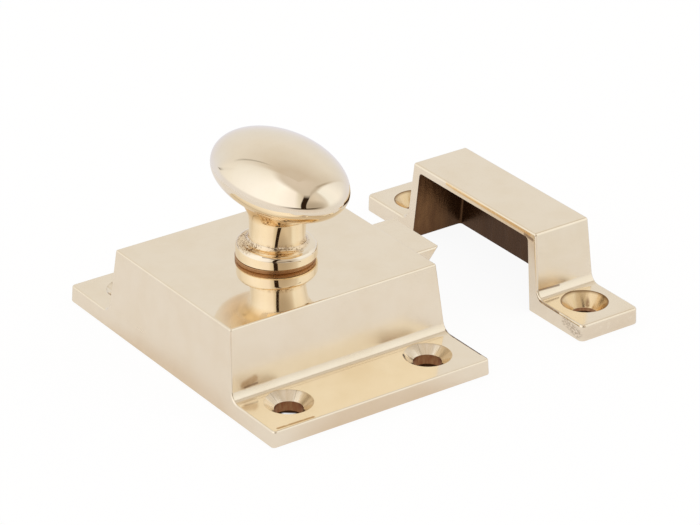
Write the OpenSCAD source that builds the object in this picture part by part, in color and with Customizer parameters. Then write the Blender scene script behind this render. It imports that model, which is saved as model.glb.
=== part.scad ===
// Surface-mounted cupboard latch: a cast brass case with an oval turn knob that draws a sprung bolt,
// and the open strike that the bolt shoots into.
// The origin is the middle of the case's mounting face. +Z points away from the door, +X runs along
// the bolt towards the strike, and +Y along the case's flanges.

/* [Case] */
// Length of the case along the bolt, at its mounting face
case_len = 39.4; // [36:0.1:50]
// Height of the case above the door
case_h = 13.75; // [12.5:0.05:18]
// Width of the raised box at its top
box_w = 31.9; // [30:0.1:40]
// How far each long wall of the box leans in from its foot to the top
wall_draft = 1.35; // [0.5:0.05:2]
// How far each end face leans in over the height of the case
end_draft = 1.1; // [0.3:0.05:1.5]
// Width of each flange, from the foot of the box to its end
flange_w = 11.2; // [10:0.1:16]
// Thickness of the flanges
flange_t = 2.7; // [2:0.1:3.4]
// Radius where the box meets the flanges
foot_r = 1.6; // [1:0.1:3]
// Radius of the worn outer edges
edge_r = 0.3; // [0.2:0.1:1]
// Radius of the flange corners, seen from above
corner_r = 0.6; // [0.4:0.1:3]
// Thickness of the case's walls
wall_t = 2.2; // [1.6:0.1:2.6]
// Thickness of the case's roof
roof_t = 2.2; // [1.6:0.1:2.6]

/* [Screw holes] */
// Distance between the two holes of one flange
hole_pitch = 25.2; // [20:0.1:28]
// Distance from the foot of the box to the middle of a hole
hole_out = 4.8; // [4:0.1:6]
// Diameter of a hole
hole_d = 4.4; // [3:0.1:5]
// Diameter of a countersink at the flange's face
sink_d = 7.4; // [6:0.1:8]
// Depth of a countersink in the case
sink_deep = 1.1; // [0.8:0.05:1.6]

/* [Knob] */
// Width of the oval head, along the bolt
head_w = 17.7; // [14:0.1:22]
// Length of the oval head, across the bolt
head_l = 27.2; // [22:0.1:34]
// Height of the head above its widest line
head_top = 5.95; // [4:0.05:8]
// Depth of the head below its widest line
head_under = 5.05; // [4:0.05:8]
// Height of the head's widest line above the case
head_rise = 13.6; // [13:0.1:20]
// Diameter of the neck at its waist
neck_d = 8.66; // [7.6:0.02:10]
// Radius of the neck's hollow curve, seen from the side
neck_curve = 14; // [7:0.1:20]
// Diameter of the collar under the neck
collar_d = 12.56; // [11.6:0.02:16]
// Thickness of the collar
collar_t = 2.2; // [1.4:0.1:3]
// Radius of the collar's upper edge
collar_r = 0.9; // [0.3:0.1:1.2]
// Thickness of the washer between the collar and the case
knob_washer_t = 0.65; // [0.4:0.05:1.2]

/* [Spindle and crank] */
// Diameter of the spindle where it turns in the case
spindle_d = 6.4; // [6.3:0.1:7.4]
// Diameter of the spindle's upper end, inside the knob
tang_d = 5; // [4:0.1:5.6]
// How far the spindle reaches up into the knob
tang_len = 10; // [6:0.5:13]
// Width across the flats of the spindle's square
square_w = 4.4; // [3.6:0.1:4.4]
// Distance from the spindle to the crank pin
crank_r = 8; // [7.4:0.1:8.4]
// How far the knob turns, in degrees
turn = 54; // [40:1:58]
// Thickness of the crank
crank_t = 2; // [1.2:0.1:2.2]
// Diameter of the crank's hub
hub_d = 8.8; // [8.4:0.1:10]
// Diameter of the crank's eye around its pin
eye_d = 4.8; // [4.4:0.1:5.4]
// Diameter of the crank pin
pin_d = 3; // [2:0.1:3.2]
// Thickness of the washer under the crank
crank_washer_t = 0.5; // [0.3:0.1:0.6]
// Diameter of that washer
crank_washer_d = 7.2; // [6:0.1:8]
// Height of the spindle's riveted end
rivet_h = 0.7; // [0.4:0.1:0.8]

/* [Bolt] */
// Width of the bolt's nose
bolt_w = 12.3; // [8:0.1:16]
// Height of the bolt's nose
bolt_t = 6.15; // [5:0.05:6.6]
// How far the nose stands out of the case at rest
bolt_throw = 7.6; // [7.3:0.1:12]
// Slope of the nose's underside, in degrees from upright
nose_slope = 40; // [20:1:45]
// Gap between the bolt's top and the case's roof
bolt_drop = 1; // [0.6:0.1:1.5]
// Width of the bolt's flat tail
tail_w = 21.8; // [21.6:0.1:22.4]
// Thickness of the bolt's flat tail
tail_t = 2.4; // [1.6:0.1:2.6]
// Metal behind the slot for the crank pin
tail_back = 5; // [3:0.1:6]
// Height of the spring's seat on the tail
seat_h = 3.1; // [2.6:0.1:3.4]
// Thickness of the spring's seat
seat_t = 1.8; // [1.2:0.1:2.4]
// Diameter of the peg inside the spring
peg_d = 2.6; // [2:0.1:3]
// Length of the peg inside the spring
peg_len = 5; // [3:0.1:6]

/* [Spring] */
// Outer diameter of the spring
spring_d = 5; // [4.6:0.1:5.6]
// Diameter of the spring wire
wire_d = 0.6; // [0.4:0.05:0.7]
// Number of turns in the spring
spring_turns = 8; // [6:1:9]
// Depth of the spring's seat in the case's rear wall
pocket_deep = 0.8; // [0.4:0.1:1]

/* [Strap] */
// Thickness of the strap that carries the bolt's tail
strap_t = 1; // [0.8:0.1:1.4]
// Width of the strap, along the bolt
strap_w = 12; // [8:0.1:13]
// Length of the cast lugs, along the bolt
lug_len = 14; // [13.2:0.1:16]
// Distance from a lug's inner face to its screw
lug_screw_in = 2; // [1.8:0.1:2.2]
// Thread diameter of the strap's screws
screw_d = 2; // [1.6:0.1:2.4]
// Length of the strap's screws under the head
screw_len = 5; // [4:0.1:6]
// Head diameter of the strap's screws
screw_head_d = 3.6; // [3:0.1:3.8]
// Head height of the strap's screws
screw_head_h = 1.3; // [0.8:0.1:1.4]

/* [Strike] */
// Depth of the strike along the bolt, at its mounting face
strike_len = 11.3; // [9:0.1:20]
// Gap between the case and the strike, as they lie
strike_gap = 17.4; // [13:0.1:40]
// Thickness of the strike's flanges
strike_flange_t = 2.8; // [2:0.1:3.4]
// Depth of a countersink in the strike
strike_sink_deep = 2.2; // [1:0.05:2.3]
// Thickness of the strike's side walls
strike_wall = 1.75; // [1.2:0.05:2.5]
// Thickness of the strike's rear wall
strike_rear = 1.5; // [1.2:0.05:2.5]
// Thickness of the strike's roof
strike_roof = 1.25; // [1:0.05:2.5]
// Room between the bolt's top and the roof of the strike's mouth
mouth_room = 1.55; // [0.5:0.05:3]
// How far the strike's end faces lean in over its height
strike_draft = 0.4; // [0.2:0.05:1]

/* [Fits] */
// Radial clearance of the spindle in the case, and of a washer on it
turn_fit = 0.06; // [0.03:0.01:0.1]
// Clearance on each side of the bolt in its window and between the lugs
slide_fit = 0.1; // [0.05:0.01:0.2]
// Clearance on each side of the crank pin in the bolt's slot
pin_fit = 0.2; // [0.12:0.01:0.3]
// Clearance of what is pressed, screwed or riveted in
press_fit = 0.01; // [0:0.01:0.05]
// End play of the knob, spindle and crank
end_play = 0.2; // [0.1:0.05:0.3]
// Room left around pieces that pass each other
pass_gap = 0.6; // [0.4:0.1:1]

/* [Hidden] */
$fn = 64;
// Cuts run past the faces that they open by this much
over = 1;
// A seat that two pieces share face to face keeps this much apart
touch = 0.02;
brass = "#d9c08a";
dull_brass = "#8a6548";
steel = "#9a9da0";

// Heights, from the door up
roof_under = case_h - roof_t;
bolt_top = roof_under - bolt_drop;
bolt_z = bolt_top - bolt_t;
tail_top = bolt_z + tail_t;
strap_top = bolt_z - slide_fit;
strap_z = strap_top - strap_t;
spring_z = bolt_z + seat_h / 2;
crank_top = roof_under - end_play;
crank_z = crank_top - crank_t;
crank_washer_z = crank_z - crank_washer_t;
rivet_z = crank_washer_z - rivet_h;
collar_z = case_h + knob_washer_t + touch;
collar_top = collar_z + collar_t;
head_z = case_h + head_rise;
neck_top = head_z - head_under - 1.3;
waist_z = (collar_top + head_z - head_under) / 2 - 1;
hollow_x = neck_d / 2 + neck_curve;
// Angle below the head's widest line where the blend from the neck meets the ellipsoid
blend_t = -48;

// Half widths across the bolt
box_top_y = box_w / 2;
box_foot_y = box_top_y + wall_draft;
flange_y = box_foot_y + flange_w;
hole_y = box_foot_y + hole_out;
lug_y = tail_w / 2 + slide_fit;
lug_screw_y = lug_y + lug_screw_in;

// Places along the bolt
case_x = case_len / 2;
pin_x = crank_r * sin(turn / 2);
pin_y = crank_r * cos(turn / 2);
travel = 2 * pin_x;
nose_x = case_end_x(bolt_top) + bolt_throw;
block_x = hub_d / 2 + pass_gap + travel;
tail_x = pin_x - pin_d / 2 - pin_fit - tail_back;
rear_in_x = case_end_x(spring_z) - wall_t;
spring_x = -rear_in_x - pocket_deep;
strike_x = case_x + strike_gap + strike_len / 2;
strike_rear_x = strike_x + strike_len / 2 - strike_rear;
strike_in_h = bolt_top + mouth_room;
strike_h = strike_in_h + strike_roof;
strike_in_y = box_top_y - strike_wall;

function case_end_x(z) = case_x - end_draft * z / case_h;
// Half width of the box's outer wall at a height
function wall_y(z) = box_top_y + wall_draft * (case_h - z) / (case_h - flange_t);
function unit(v) = v / norm(v);

// Middle of the arc of radius r that rounds the corner at p, whose edges run along a and b
function arc_centre(p, a, b, r) = p + unit(unit(a) + unit(b)) * r / sin(acos(unit(a) * unit(b)) / 2);
// Distance from that corner to the ends of the arc
function arc_reach(a, b, r) = r / tan(acos(unit(a) * unit(b)) / 2);

// The sliver that rounding a sharp corner takes away
module corner_sliver(p, a, b, r) {
    centre = arc_centre(p, a, b, r);
    reach = arc_reach(a, b, r);
    difference() {
        polygon([2 * p - centre, p + unit(a) * reach, centre, p + unit(b) * reach]);
        translate(centre) circle(r);
    }
}

// Section across the bolt: a drafted box of height h between two flanges of thickness ft.
// The round foot of the box is cut from a block that reaches the middle of its arc.
module hat_section(h, ft) {
    foot = [box_foot_y, ft];
    lean = unit([box_top_y - box_foot_y, h - ft]);
    centre = arc_centre(foot, [1, 0], lean, foot_r);
    reach = arc_reach([1, 0], lean, foot_r);
    half = [[flange_y, 0], [flange_y, ft], foot + [reach, 0], centre, foot + lean * reach, [box_top_y, h]];
    count = len(half) - 1;
    difference() {
        polygon(concat(half, [for (i = [count:-1:0]) [-half[i].x, half[i].y]]));
        for (s = [-1, 1]) {
            translate([s * centre.x, centre.y]) circle(foot_r);
            corner_sliver([s * box_top_y, h], [-s, 0], [-s * lean.x, -lean.y], edge_r);
            corner_sliver([s * flange_y, ft], [-s, 0], [0, -1], edge_r);
        }
    }
}

// Section along the bolt: a block of the given length and height whose ends lean in by draft
module end_section(len, h, draft) {
    foot = len / 2;
    top = foot - draft;
    difference() {
        polygon([[-foot, 0], [foot, 0], [top, h], [-top, h]]);
        for (s = [-1, 1]) corner_sliver([s * top, h], [-s, 0], [s * draft, -h], edge_r);
    }
}

// Lays a section across the bolt along X, from x0 to x1
module along_x(x0, x1) {
    translate([x0, 0, 0]) rotate([90, 0, 90]) linear_extrude(x1 - x0) children();
}

// Lays a section along the bolt over the width from -y to y
module along_y(y) {
    rotate([90, 0, 0]) linear_extrude(2 * y, center = true) children();
}

// A flat plate with round corners
module round_plate(size_x, size_y, thick, r) {
    linear_extrude(thick) union() {
        square([size_x - 2 * r, size_y], center = true);
        square([size_x, size_y - 2 * r], center = true);
        for (x = [-1, 1], y = [-1, 1]) translate([x * (size_x / 2 - r), y * (size_y / 2 - r)]) circle(r);
    }
}

// The drafted casting that the case and the strike have in common, before it is hollowed
module casting(len, h, ft, draft) {
    intersection() {
        along_x(-len / 2, len / 2) hat_section(h, ft);
        along_y(flange_y) end_section(len, h, draft);
        round_plate(len, 2 * flange_y, h, corner_r);
    }
}

// A screw hole through a flange of thickness ft, with a countersink this deep
module screw_hole(ft, deep) {
    translate([0, 0, -over]) cylinder(d = hole_d, h = ft + 2 * over);
    translate([0, 0, ft - deep]) cylinder(d1 = hole_d, d2 = sink_d, h = deep);
    translate([0, 0, ft]) cylinder(d = sink_d, h = over);
}

// The hollow of the case, open at the door
module case_hollow() {
    inner_r = 1;
    foot_in_y = wall_y(0) - wall_t;
    top_in_y = wall_y(roof_under) - wall_t;
    foot_in_x = case_x - wall_t;
    top_in_x = case_end_x(roof_under) - wall_t;
    intersection() {
        along_x(-case_x, case_x) difference() {
            polygon([[-foot_in_y, 0], [foot_in_y, 0], [top_in_y, roof_under], [-top_in_y, roof_under]]);
            for (s = [-1, 1])
                corner_sliver([s * top_in_y, roof_under], [-s, 0], [s * (foot_in_y - top_in_y), -roof_under], inner_r);
        }
        along_y(flange_y) polygon([[-foot_in_x, 0], [foot_in_x, 0], [top_in_x, roof_under], [-top_in_x, roof_under]]);
    }
}

// The two cast lugs that guide the bolt's tail and take the strap's screws
module lugs() {
    for (s = [0, 180]) rotate(s)
        translate([s == 0 ? pin_x - lug_len / 2 : -pin_x - lug_len / 2, lug_y, strap_top])
            cube([lug_len, flange_y - lug_y, case_h]);
}

module case() {
    color(brass) difference() {
        casting(case_len, case_h, flange_t, end_draft);
        difference() {
            case_hollow();
            lugs();
        }
        translate([0, 0, roof_under - over]) cylinder(d = spindle_d + 2 * turn_fit, h = roof_t + 2 * over);
        for (x = [-1, 1], y = [-1, 1]) translate([x * hole_pitch / 2, y * hole_y, 0])
            screw_hole(flange_t, sink_deep);
        bolt_window();
        translate([-rear_in_x, 0, spring_z]) rotate([0, -90, 0])
            translate([0, 0, -over]) cylinder(d = spring_d + 2 * slide_fit, h = pocket_deep + over);
        for (y = [-1, 1]) translate([pin_x, y * lug_screw_y, strap_top - over])
            cylinder(d = screw_d + 2 * press_fit, h = screw_len - strap_t + pass_gap + over);
    }
}

// The window in the case's front wall that the bolt slides through
module bolt_window() {
    start_x = case_end_x(roof_under) - wall_t - over;
    translate([start_x, -bolt_w / 2 - slide_fit, bolt_z - slide_fit])
        cube([case_x - start_x + over, bolt_w + 2 * slide_fit, bolt_t + 2 * slide_fit]);
}

// Points of an arc around c, from angle a0 to a1
function arc(c, r, a0, a1, steps) = [for (i = [0:steps]) let (a = a0 + (a1 - a0) * i / steps) c + r * [cos(a), sin(a)]];

// Radius of the neck at a height, on its hollow curve
function neck_r(z) = hollow_x - sqrt(pow(neck_curve, 2) - pow(z - waist_z, 2));

// Half section of the collar and the neck, from the axis out and up. A small round joins the collar's
// top to the neck's hollow curve.
module neck_section() {
    root_r = 0.8;
    root_z = collar_top + root_r;
    root_x = hollow_x - sqrt(pow(neck_curve - root_r, 2) - pow(root_z - waist_z, 2));
    low_angle = atan2(root_z - waist_z, root_x - hollow_x);
    high_angle = atan2(neck_top - waist_z, neck_r(neck_top) - hollow_x);
    edge = [collar_d / 2 - collar_r, collar_top - collar_r];
    polygon(concat(
        [[0, collar_z], [collar_d / 2, collar_z]],
        arc(edge, collar_r, 0, 90, 8),
        arc([root_x, root_z], root_r, -90, low_angle - (low_angle > 0 ? 360 : 0), 8),
        arc([hollow_x, waist_z], neck_curve, low_angle + (low_angle < 0 ? 360 : 0),
            high_angle + (high_angle < 0 ? 360 : 0), 16),
        [[0, neck_top]]));
}

// A ring of the head: half width, half length and height at an angle below (-90) or above (90) its widest line
function head_ring(t) = [head_w / 2 * cos(t), head_l / 2 * cos(t), head_z + (t < 0 ? head_under : head_top) * sin(t)];

// The rings that blend the round neck into the oval head, on a curve that leaves the neck along its side
// and meets the head along its underside
function blend_rings(steps) =
    let (start_r = neck_r(neck_top) + touch, start = [start_r, start_r, neck_top - touch],
        slope = (neck_top - waist_z) / (hollow_x - start_r), leave = 0.35, arrive = 0.1,
        meet = [-head_w / 2 * sin(blend_t), -head_l / 2 * sin(blend_t), head_under * cos(blend_t)],
        p1 = start + leave * [slope, slope, 1], p3 = head_ring(blend_t), p2 = p3 - arrive * meet)
    [for (i = [0:steps - 1]) let (u = i / steps, v = 1 - u)
        start * v * v * v + p1 * 3 * v * v * u + p2 * 3 * v * u * u + p3 * u * u * u];

// The oval head, lofted from the neck: a blend, then an ellipsoid with a flatter underside
module head() {
    sides = 64;
    steps = 20;
    plug = [neck_d / 2 - 1, neck_d / 2 - 1, neck_top - 1];
    rings = concat([plug], blend_rings(7), [for (i = [0:steps - 1]) head_ring(blend_t + (90 - blend_t) * i / steps)]);
    last = len(rings) - 1;
    crown = len(rings) * sides;
    points = concat(
        [for (r = rings, i = [0:sides - 1]) [r[0] * cos(360 * i / sides), r[1] * sin(360 * i / sides), r[2]]],
        [[0, 0, head_z + head_top]]);
    faces = concat(
        [[for (i = [0:sides - 1]) i]],
        [for (k = [0:last - 1], i = [0:sides - 1])
            let (p = k * sides, j = (i + 1) % sides) [p + i, p + sides + i, p + sides + j, p + j]],
        [for (i = [0:sides - 1]) [last * sides + i, crown, last * sides + (i + 1) % sides]]);
    polyhedron(points, faces, convexity = 4);
}

module knob() {
    color(brass) difference() {
        union() {
            head();
            rotate_extrude() neck_section();
        }
        translate([0, 0, collar_z - over]) cylinder(d = tang_d + 2 * press_fit, h = tang_len + over + touch);
    }
}

module knob_washer() {
    rim_in = 0.1;
    color(dull_brass) translate([0, 0, case_h]) difference() {
        cylinder(d = collar_d - 2 * rim_in, h = knob_washer_t);
        translate([0, 0, -over]) cylinder(d = spindle_d + 2 * turn_fit, h = knob_washer_t + 2 * over);
    }
}

// The square of the spindle, and the hole that fits it
module square_bar(w, z, h) {
    rotate(90 - turn / 2) translate([-w / 2, -w / 2, z]) cube([w, w, h]);
}

module spindle() {
    tenon_d = square_w - 1;
    rivet_d = square_w + 0.6;
    color(steel) union() {
        translate([0, 0, collar_z - touch]) cylinder(d = tang_d, h = tang_len + touch);
        translate([0, 0, crank_top + touch]) cylinder(d = spindle_d, h = collar_z - touch - crank_top - touch);
        square_bar(square_w, crank_z, crank_t + 2 * touch);
        translate([0, 0, rivet_z]) cylinder(d = tenon_d, h = crank_z + crank_t / 2 - rivet_z);
        translate([0, 0, rivet_z]) cylinder(d1 = tenon_d, d2 = rivet_d, h = rivet_h - touch);
    }
}

// Outline of the crank, with its arm along +X
module crank_outline() {
    arm_w = eye_d - 0.8;
    circle(d = hub_d);
    translate([crank_r, 0]) circle(d = eye_d);
    translate([0, -arm_w / 2]) square([crank_r, arm_w]);
}

module crank() {
    color(steel) difference() {
        translate([0, 0, crank_z]) rotate(90 - turn / 2) linear_extrude(crank_t) crank_outline();
        square_bar(square_w + 2 * press_fit, crank_z - over, crank_t + 2 * over);
        translate([pin_x, pin_y, crank_z - over]) cylinder(d = pin_neck_d() + 2 * press_fit, h = crank_t + 2 * over);
    }
}

// The pin is turned down where it is riveted into the crank
function pin_neck_d() = pin_d - 0.8;

module crank_pin() {
    color(steel) translate([pin_x, pin_y, 0]) union() {
        translate([0, 0, bolt_z + slide_fit]) cylinder(d = pin_d, h = crank_z - touch - bolt_z - slide_fit);
        translate([0, 0, crank_z - touch]) cylinder(d = pin_neck_d(), h = crank_t + touch);
    }
}

module crank_washer() {
    color(steel) translate([0, 0, crank_washer_z]) difference() {
        cylinder(d = crank_washer_d, h = crank_washer_t - touch);
        translate([0, 0, -over]) cylinder(d = square_w - 1 + 2 * turn_fit, h = crank_washer_t + 2 * over);
    }
}

// The slot in the bolt's tail that the crank pin works in
module pin_slot() {
    slot_r = pin_d / 2 + pin_fit;
    for (y = [pin_y, crank_r]) translate([pin_x, y, bolt_z - over]) cylinder(r = slot_r, h = tail_t + 2 * over);
    translate([pin_x - slot_r, pin_y, bolt_z - over]) cube([2 * slot_r, crank_r - pin_y, tail_t + 2 * over]);
}

// Side view of the bolt's block, with its nose sloped underneath
module block_outline() {
    slope_x = bolt_t * tan(nose_slope);
    polygon([[block_x, bolt_z], [nose_x - slope_x, bolt_z], [nose_x, bolt_top], [block_x, bolt_top]]);
}

module bolt() {
    color(brass) difference() {
        union() {
            along_y(bolt_w / 2) block_outline();
            translate([tail_x, -tail_w / 2, bolt_z]) cube([block_x + over - tail_x, tail_w, tail_t]);
            translate([tail_x, -spring_d / 2, bolt_z]) cube([seat_t, spring_d, seat_h]);
            translate([tail_x + seat_t / 2, 0, spring_z]) rotate([0, -90, 0]) cylinder(d = peg_d, h = peg_len + seat_t / 2);
        }
        pin_slot();
    }
}

// Centre line of the spring at turn t, with a closed turn at each end
function spring_point(t, x0, x1) =
    let (closed = 1, coil_r = (spring_d - wire_d) / 2, inner = spring_turns - 2 * closed,
        open_len = x1 - x0 - wire_d * (1 + 2 * closed),
        x = t < closed ? wire_d * t
            : t > spring_turns - closed ? open_len + wire_d * (t - inner)
            : wire_d * closed + open_len * (t - closed) / inner)
    [x0 + wire_d / 2 + x, coil_r * sin(360 * t), spring_z + coil_r * cos(360 * t)];

module bolt_spring() {
    per_turn = 20;
    sides = 8;
    steps = spring_turns * per_turn;
    x0 = spring_x + touch;
    x1 = tail_x - touch;
    r = wire_d / 2;
    points = [for (i = [0:steps])
        let (c = spring_point(i / per_turn, x0, x1), out = [0, sin(360 * i / per_turn), cos(360 * i / per_turn)])
        for (k = [0:sides - 1]) c + out * r * cos(360 * k / sides) + [r * sin(360 * k / sides), 0, 0]];
    faces = concat(
        [[for (k = [0:sides - 1]) k]],
        [for (i = [0:steps - 1], k = [0:sides - 1])
            let (p = i * sides, j = (k + 1) % sides) [p + k, p + sides + k, p + sides + j, p + j]],
        [[for (k = [sides - 1:-1:0]) steps * sides + k]]);
    color(steel) polyhedron(points, faces, convexity = 10);
}

module keeper_strap() {
    end_gap = 0.3;
    strap_len = 2 * (wall_y(strap_top) - wall_t - end_gap);
    color(steel) translate([pin_x, 0, strap_z]) difference() {
        round_plate(strap_w, strap_len, strap_t, 1);
        for (y = [-1, 1]) translate([0, y * lug_screw_y, -over])
            cylinder(d = screw_d + 2 * slide_fit, h = strap_t + 2 * over);
    }
}

// A slotted pan-head screw, screwed upwards into a lug
module strap_screw(y) {
    slot_w = 0.6;
    slot_deep = 0.5;
    color(steel) translate([pin_x, y, strap_z]) difference() {
        union() {
            translate([0, 0, -screw_head_h]) cylinder(d = screw_head_d, h = screw_head_h - touch);
            translate([0, 0, -touch - touch]) cylinder(d = screw_d, h = screw_len);
        }
        translate([-screw_head_d, -slot_w / 2, -screw_head_h - over])
            cube([2 * screw_head_d, slot_w, slot_deep + over]);
    }
}

module strike() {
    inner_r = 0.6;
    foot_in_y = strike_in_y + wall_draft;
    color(brass) translate([strike_x, 0, 0]) difference() {
        casting(strike_len, strike_h, strike_flange_t, strike_draft);
        translate([-strike_x, 0, 0]) along_x(strike_x - strike_len, strike_rear_x) difference() {
            polygon([[-foot_in_y, -over], [foot_in_y, -over], [foot_in_y, 0], [strike_in_y, strike_in_h],
                [-strike_in_y, strike_in_h], [-foot_in_y, 0]]);
            for (s = [-1, 1])
                corner_sliver([s * strike_in_y, strike_in_h], [-s, 0], [s * wall_draft, -strike_in_h], inner_r);
        }
        for (y = [-1, 1]) translate([0, y * hole_y, 0]) screw_hole(strike_flange_t, strike_sink_deep);
    }
}

case();
knob();
knob_washer();
spindle();
crank();
crank_pin();
crank_washer();
bolt();
bolt_spring();
keeper_strap();
strap_screw(lug_screw_y);  // strap_screw_far
strap_screw(-lug_screw_y);  // strap_screw_near
strike();
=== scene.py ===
import math
from types import SimpleNamespace

import bmesh
import bpy
from bpy.props import FloatProperty, FloatVectorProperty, IntProperty, PointerProperty
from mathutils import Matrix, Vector


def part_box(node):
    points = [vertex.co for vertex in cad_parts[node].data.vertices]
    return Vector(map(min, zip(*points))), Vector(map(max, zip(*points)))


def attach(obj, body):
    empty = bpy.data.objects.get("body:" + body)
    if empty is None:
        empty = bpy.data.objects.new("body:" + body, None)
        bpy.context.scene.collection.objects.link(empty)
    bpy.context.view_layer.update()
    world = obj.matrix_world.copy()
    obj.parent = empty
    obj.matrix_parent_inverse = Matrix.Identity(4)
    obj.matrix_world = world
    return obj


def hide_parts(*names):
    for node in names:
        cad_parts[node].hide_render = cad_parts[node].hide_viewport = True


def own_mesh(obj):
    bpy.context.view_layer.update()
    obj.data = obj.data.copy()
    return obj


bl_info = {
    "name": "Cupboard latch",
    "version": (1, 0, 0),
    "blender": (4, 5, 0),
    "location": "3D View > Sidebar > Latch",
    "description": "A polished brass cupboard latch with an oval turn knob and its open strike",
    "category": "Object",
}

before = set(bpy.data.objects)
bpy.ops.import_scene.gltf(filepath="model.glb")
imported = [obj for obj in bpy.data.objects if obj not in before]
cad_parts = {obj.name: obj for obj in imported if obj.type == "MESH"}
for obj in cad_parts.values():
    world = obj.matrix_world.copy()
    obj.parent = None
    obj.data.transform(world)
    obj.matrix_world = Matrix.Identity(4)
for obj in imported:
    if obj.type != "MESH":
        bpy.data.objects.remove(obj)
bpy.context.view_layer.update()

# Pieces are modelled in millimetres and brought to metres when they are finished
MM = 0.001
# An edge between faces that meet at more than this is a true edge of the piece
SHARP = math.radians(28)
# Clearances in millimetres: of what slides, of what turns, of what is pressed in, and of seats that touch
SLIDE_FIT = 0.1
TURN_FIT = 0.06
PRESS_FIT = 0.01
TOUCH = 0.02
# How far a dressed piece may stand off its node's box, in millimetres
STAND_OFF = 0.35
# The setting of a Map Range node that fades softly at both ends
SOFT = {"interpolation_type": "SMOOTHSTEP"}


# Sizes and colours that a user would change

def linear(text):
    """A colour written as sRGB hex, as linear red, green, blue and alpha"""
    parts = [int(text[i:i + 2], 16) / 255 for i in (1, 3, 5)]
    return tuple(v / 12.92 if v <= 0.04045 else ((v + 0.055) / 1.055) ** 2.4 for v in parts) + (1.0,)


def size(name, description, value):
    """A length, given here in millimetres"""
    return FloatProperty(name=name, description=description, default=value * MM, min=0.0,
                         unit="LENGTH", precision=5)


def colour(name, description, text):
    """A colour, given here as sRGB hex"""
    return FloatVectorProperty(name=name, description=description, default=linear(text), size=4,
                               min=0.0, max=1.0, subtype="COLOR")


class CastingSizes(bpy.types.PropertyGroup):
    case_len: size("Case length", "Length of the case along the bolt, at the door", 39.4)
    case_h: size("Case height", "Height of the case above the door", 13.75)
    box_w: size("Box width", "Width of the raised box at its top", 31.9)
    wall_draft: size("Wall draft", "How far each long wall leans in from its foot to the top", 1.35)
    end_draft: size("End draft", "How far each end face of the case leans in", 1.1)
    flange_w: size("Flange width", "Width of each flange", 11.2)
    flange_t: size("Flange thickness", "Thickness of the case's flanges", 2.7)
    foot_r: size("Foot radius", "Radius where the box meets the flanges", 1.6)
    corner_r: size("Corner radius", "Radius of the flange corners, seen from above", 0.6)
    edge_r: size("Edge radius", "Radius of the polished outer edges", 0.28)
    wall_t: size("Wall thickness", "Thickness of the case's walls and roof", 2.2)
    hole_pitch: size("Hole pitch", "Distance between the two holes of one flange", 25.2)
    hole_out: size("Hole distance", "Distance from the foot of the box to the middle of a hole", 4.8)
    hole_d: size("Hole diameter", "Diameter of a screw hole", 4.4)
    sink_d: size("Countersink diameter", "Diameter of a countersink at the flange's face", 7.4)
    sink_deep: size("Countersink depth", "Depth of a countersink in the case", 1.1)
    strike_len: size("Strike depth", "Depth of the strike along the bolt", 11.3)
    strike_x: size("Strike place", "Distance from the knob's axis to the middle of the strike", 42.75)
    strike_h: size("Strike height", "Height of the strike above the frame", 13.35)
    strike_flange_t: size("Strike flange thickness", "Thickness of the strike's flanges", 2.8)
    strike_sink_deep: size("Strike countersink depth", "Depth of a countersink in the strike", 2.2)
    strike_wall: size("Strike wall", "Thickness of the strike's side walls", 1.75)
    strike_rear: size("Strike rear wall", "Thickness of the strike's rear wall", 1.5)
    strike_roof: size("Strike roof", "Thickness of the strike's roof", 1.25)
    strike_draft: size("Strike draft", "How far the strike's end faces lean in", 0.4)
    mouth_r: size("Mouth radius", "Radius of the upper corners of the strike's mouth", 0.6)
    hollow_r: size("Hollow radius", "Radius of the corners of the case's hollow", 1.0)


class KnobSizes(bpy.types.PropertyGroup):
    head_w: size("Head width", "Width of the oval head, along the bolt", 17.7)
    head_l: size("Head length", "Length of the oval head, across the bolt", 27.2)
    head_top: size("Head crown", "Height of the head above its widest line", 5.95)
    head_under: size("Head underside", "Depth of the head below its widest line", 5.05)
    head_rise: size("Head rise", "Height of the head's widest line above the case", 13.6)
    neck_d: size("Neck diameter", "Diameter of the neck at its waist", 8.66)
    neck_curve: size("Neck curve", "Radius of the neck's hollow curve", 14.0)
    neck_short: size("Neck top", "How far below the head's underside the round neck ends", 1.3)
    waist_drop: size("Waist drop", "How far the waist lies below the middle of the neck", 1.0)
    root_r: size("Neck root", "Radius of the round between the neck and the collar", 0.8)
    collar_d: size("Collar diameter", "Diameter of the collar under the neck", 12.56)
    collar_t: size("Collar thickness", "Thickness of the collar", 2.2)
    collar_r: size("Collar radius", "Radius of the collar's upper edge", 0.9)
    washer_t: size("Washer thickness", "Thickness of the washer under the collar", 0.65)
    aside: size("Collar offset", "How far the real collar stands beside its axis", 0.2)
    lean: FloatProperty(name="Lean", description="Angle by which the real knob leans", default=0.05,
                        subtype="ANGLE")


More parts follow.
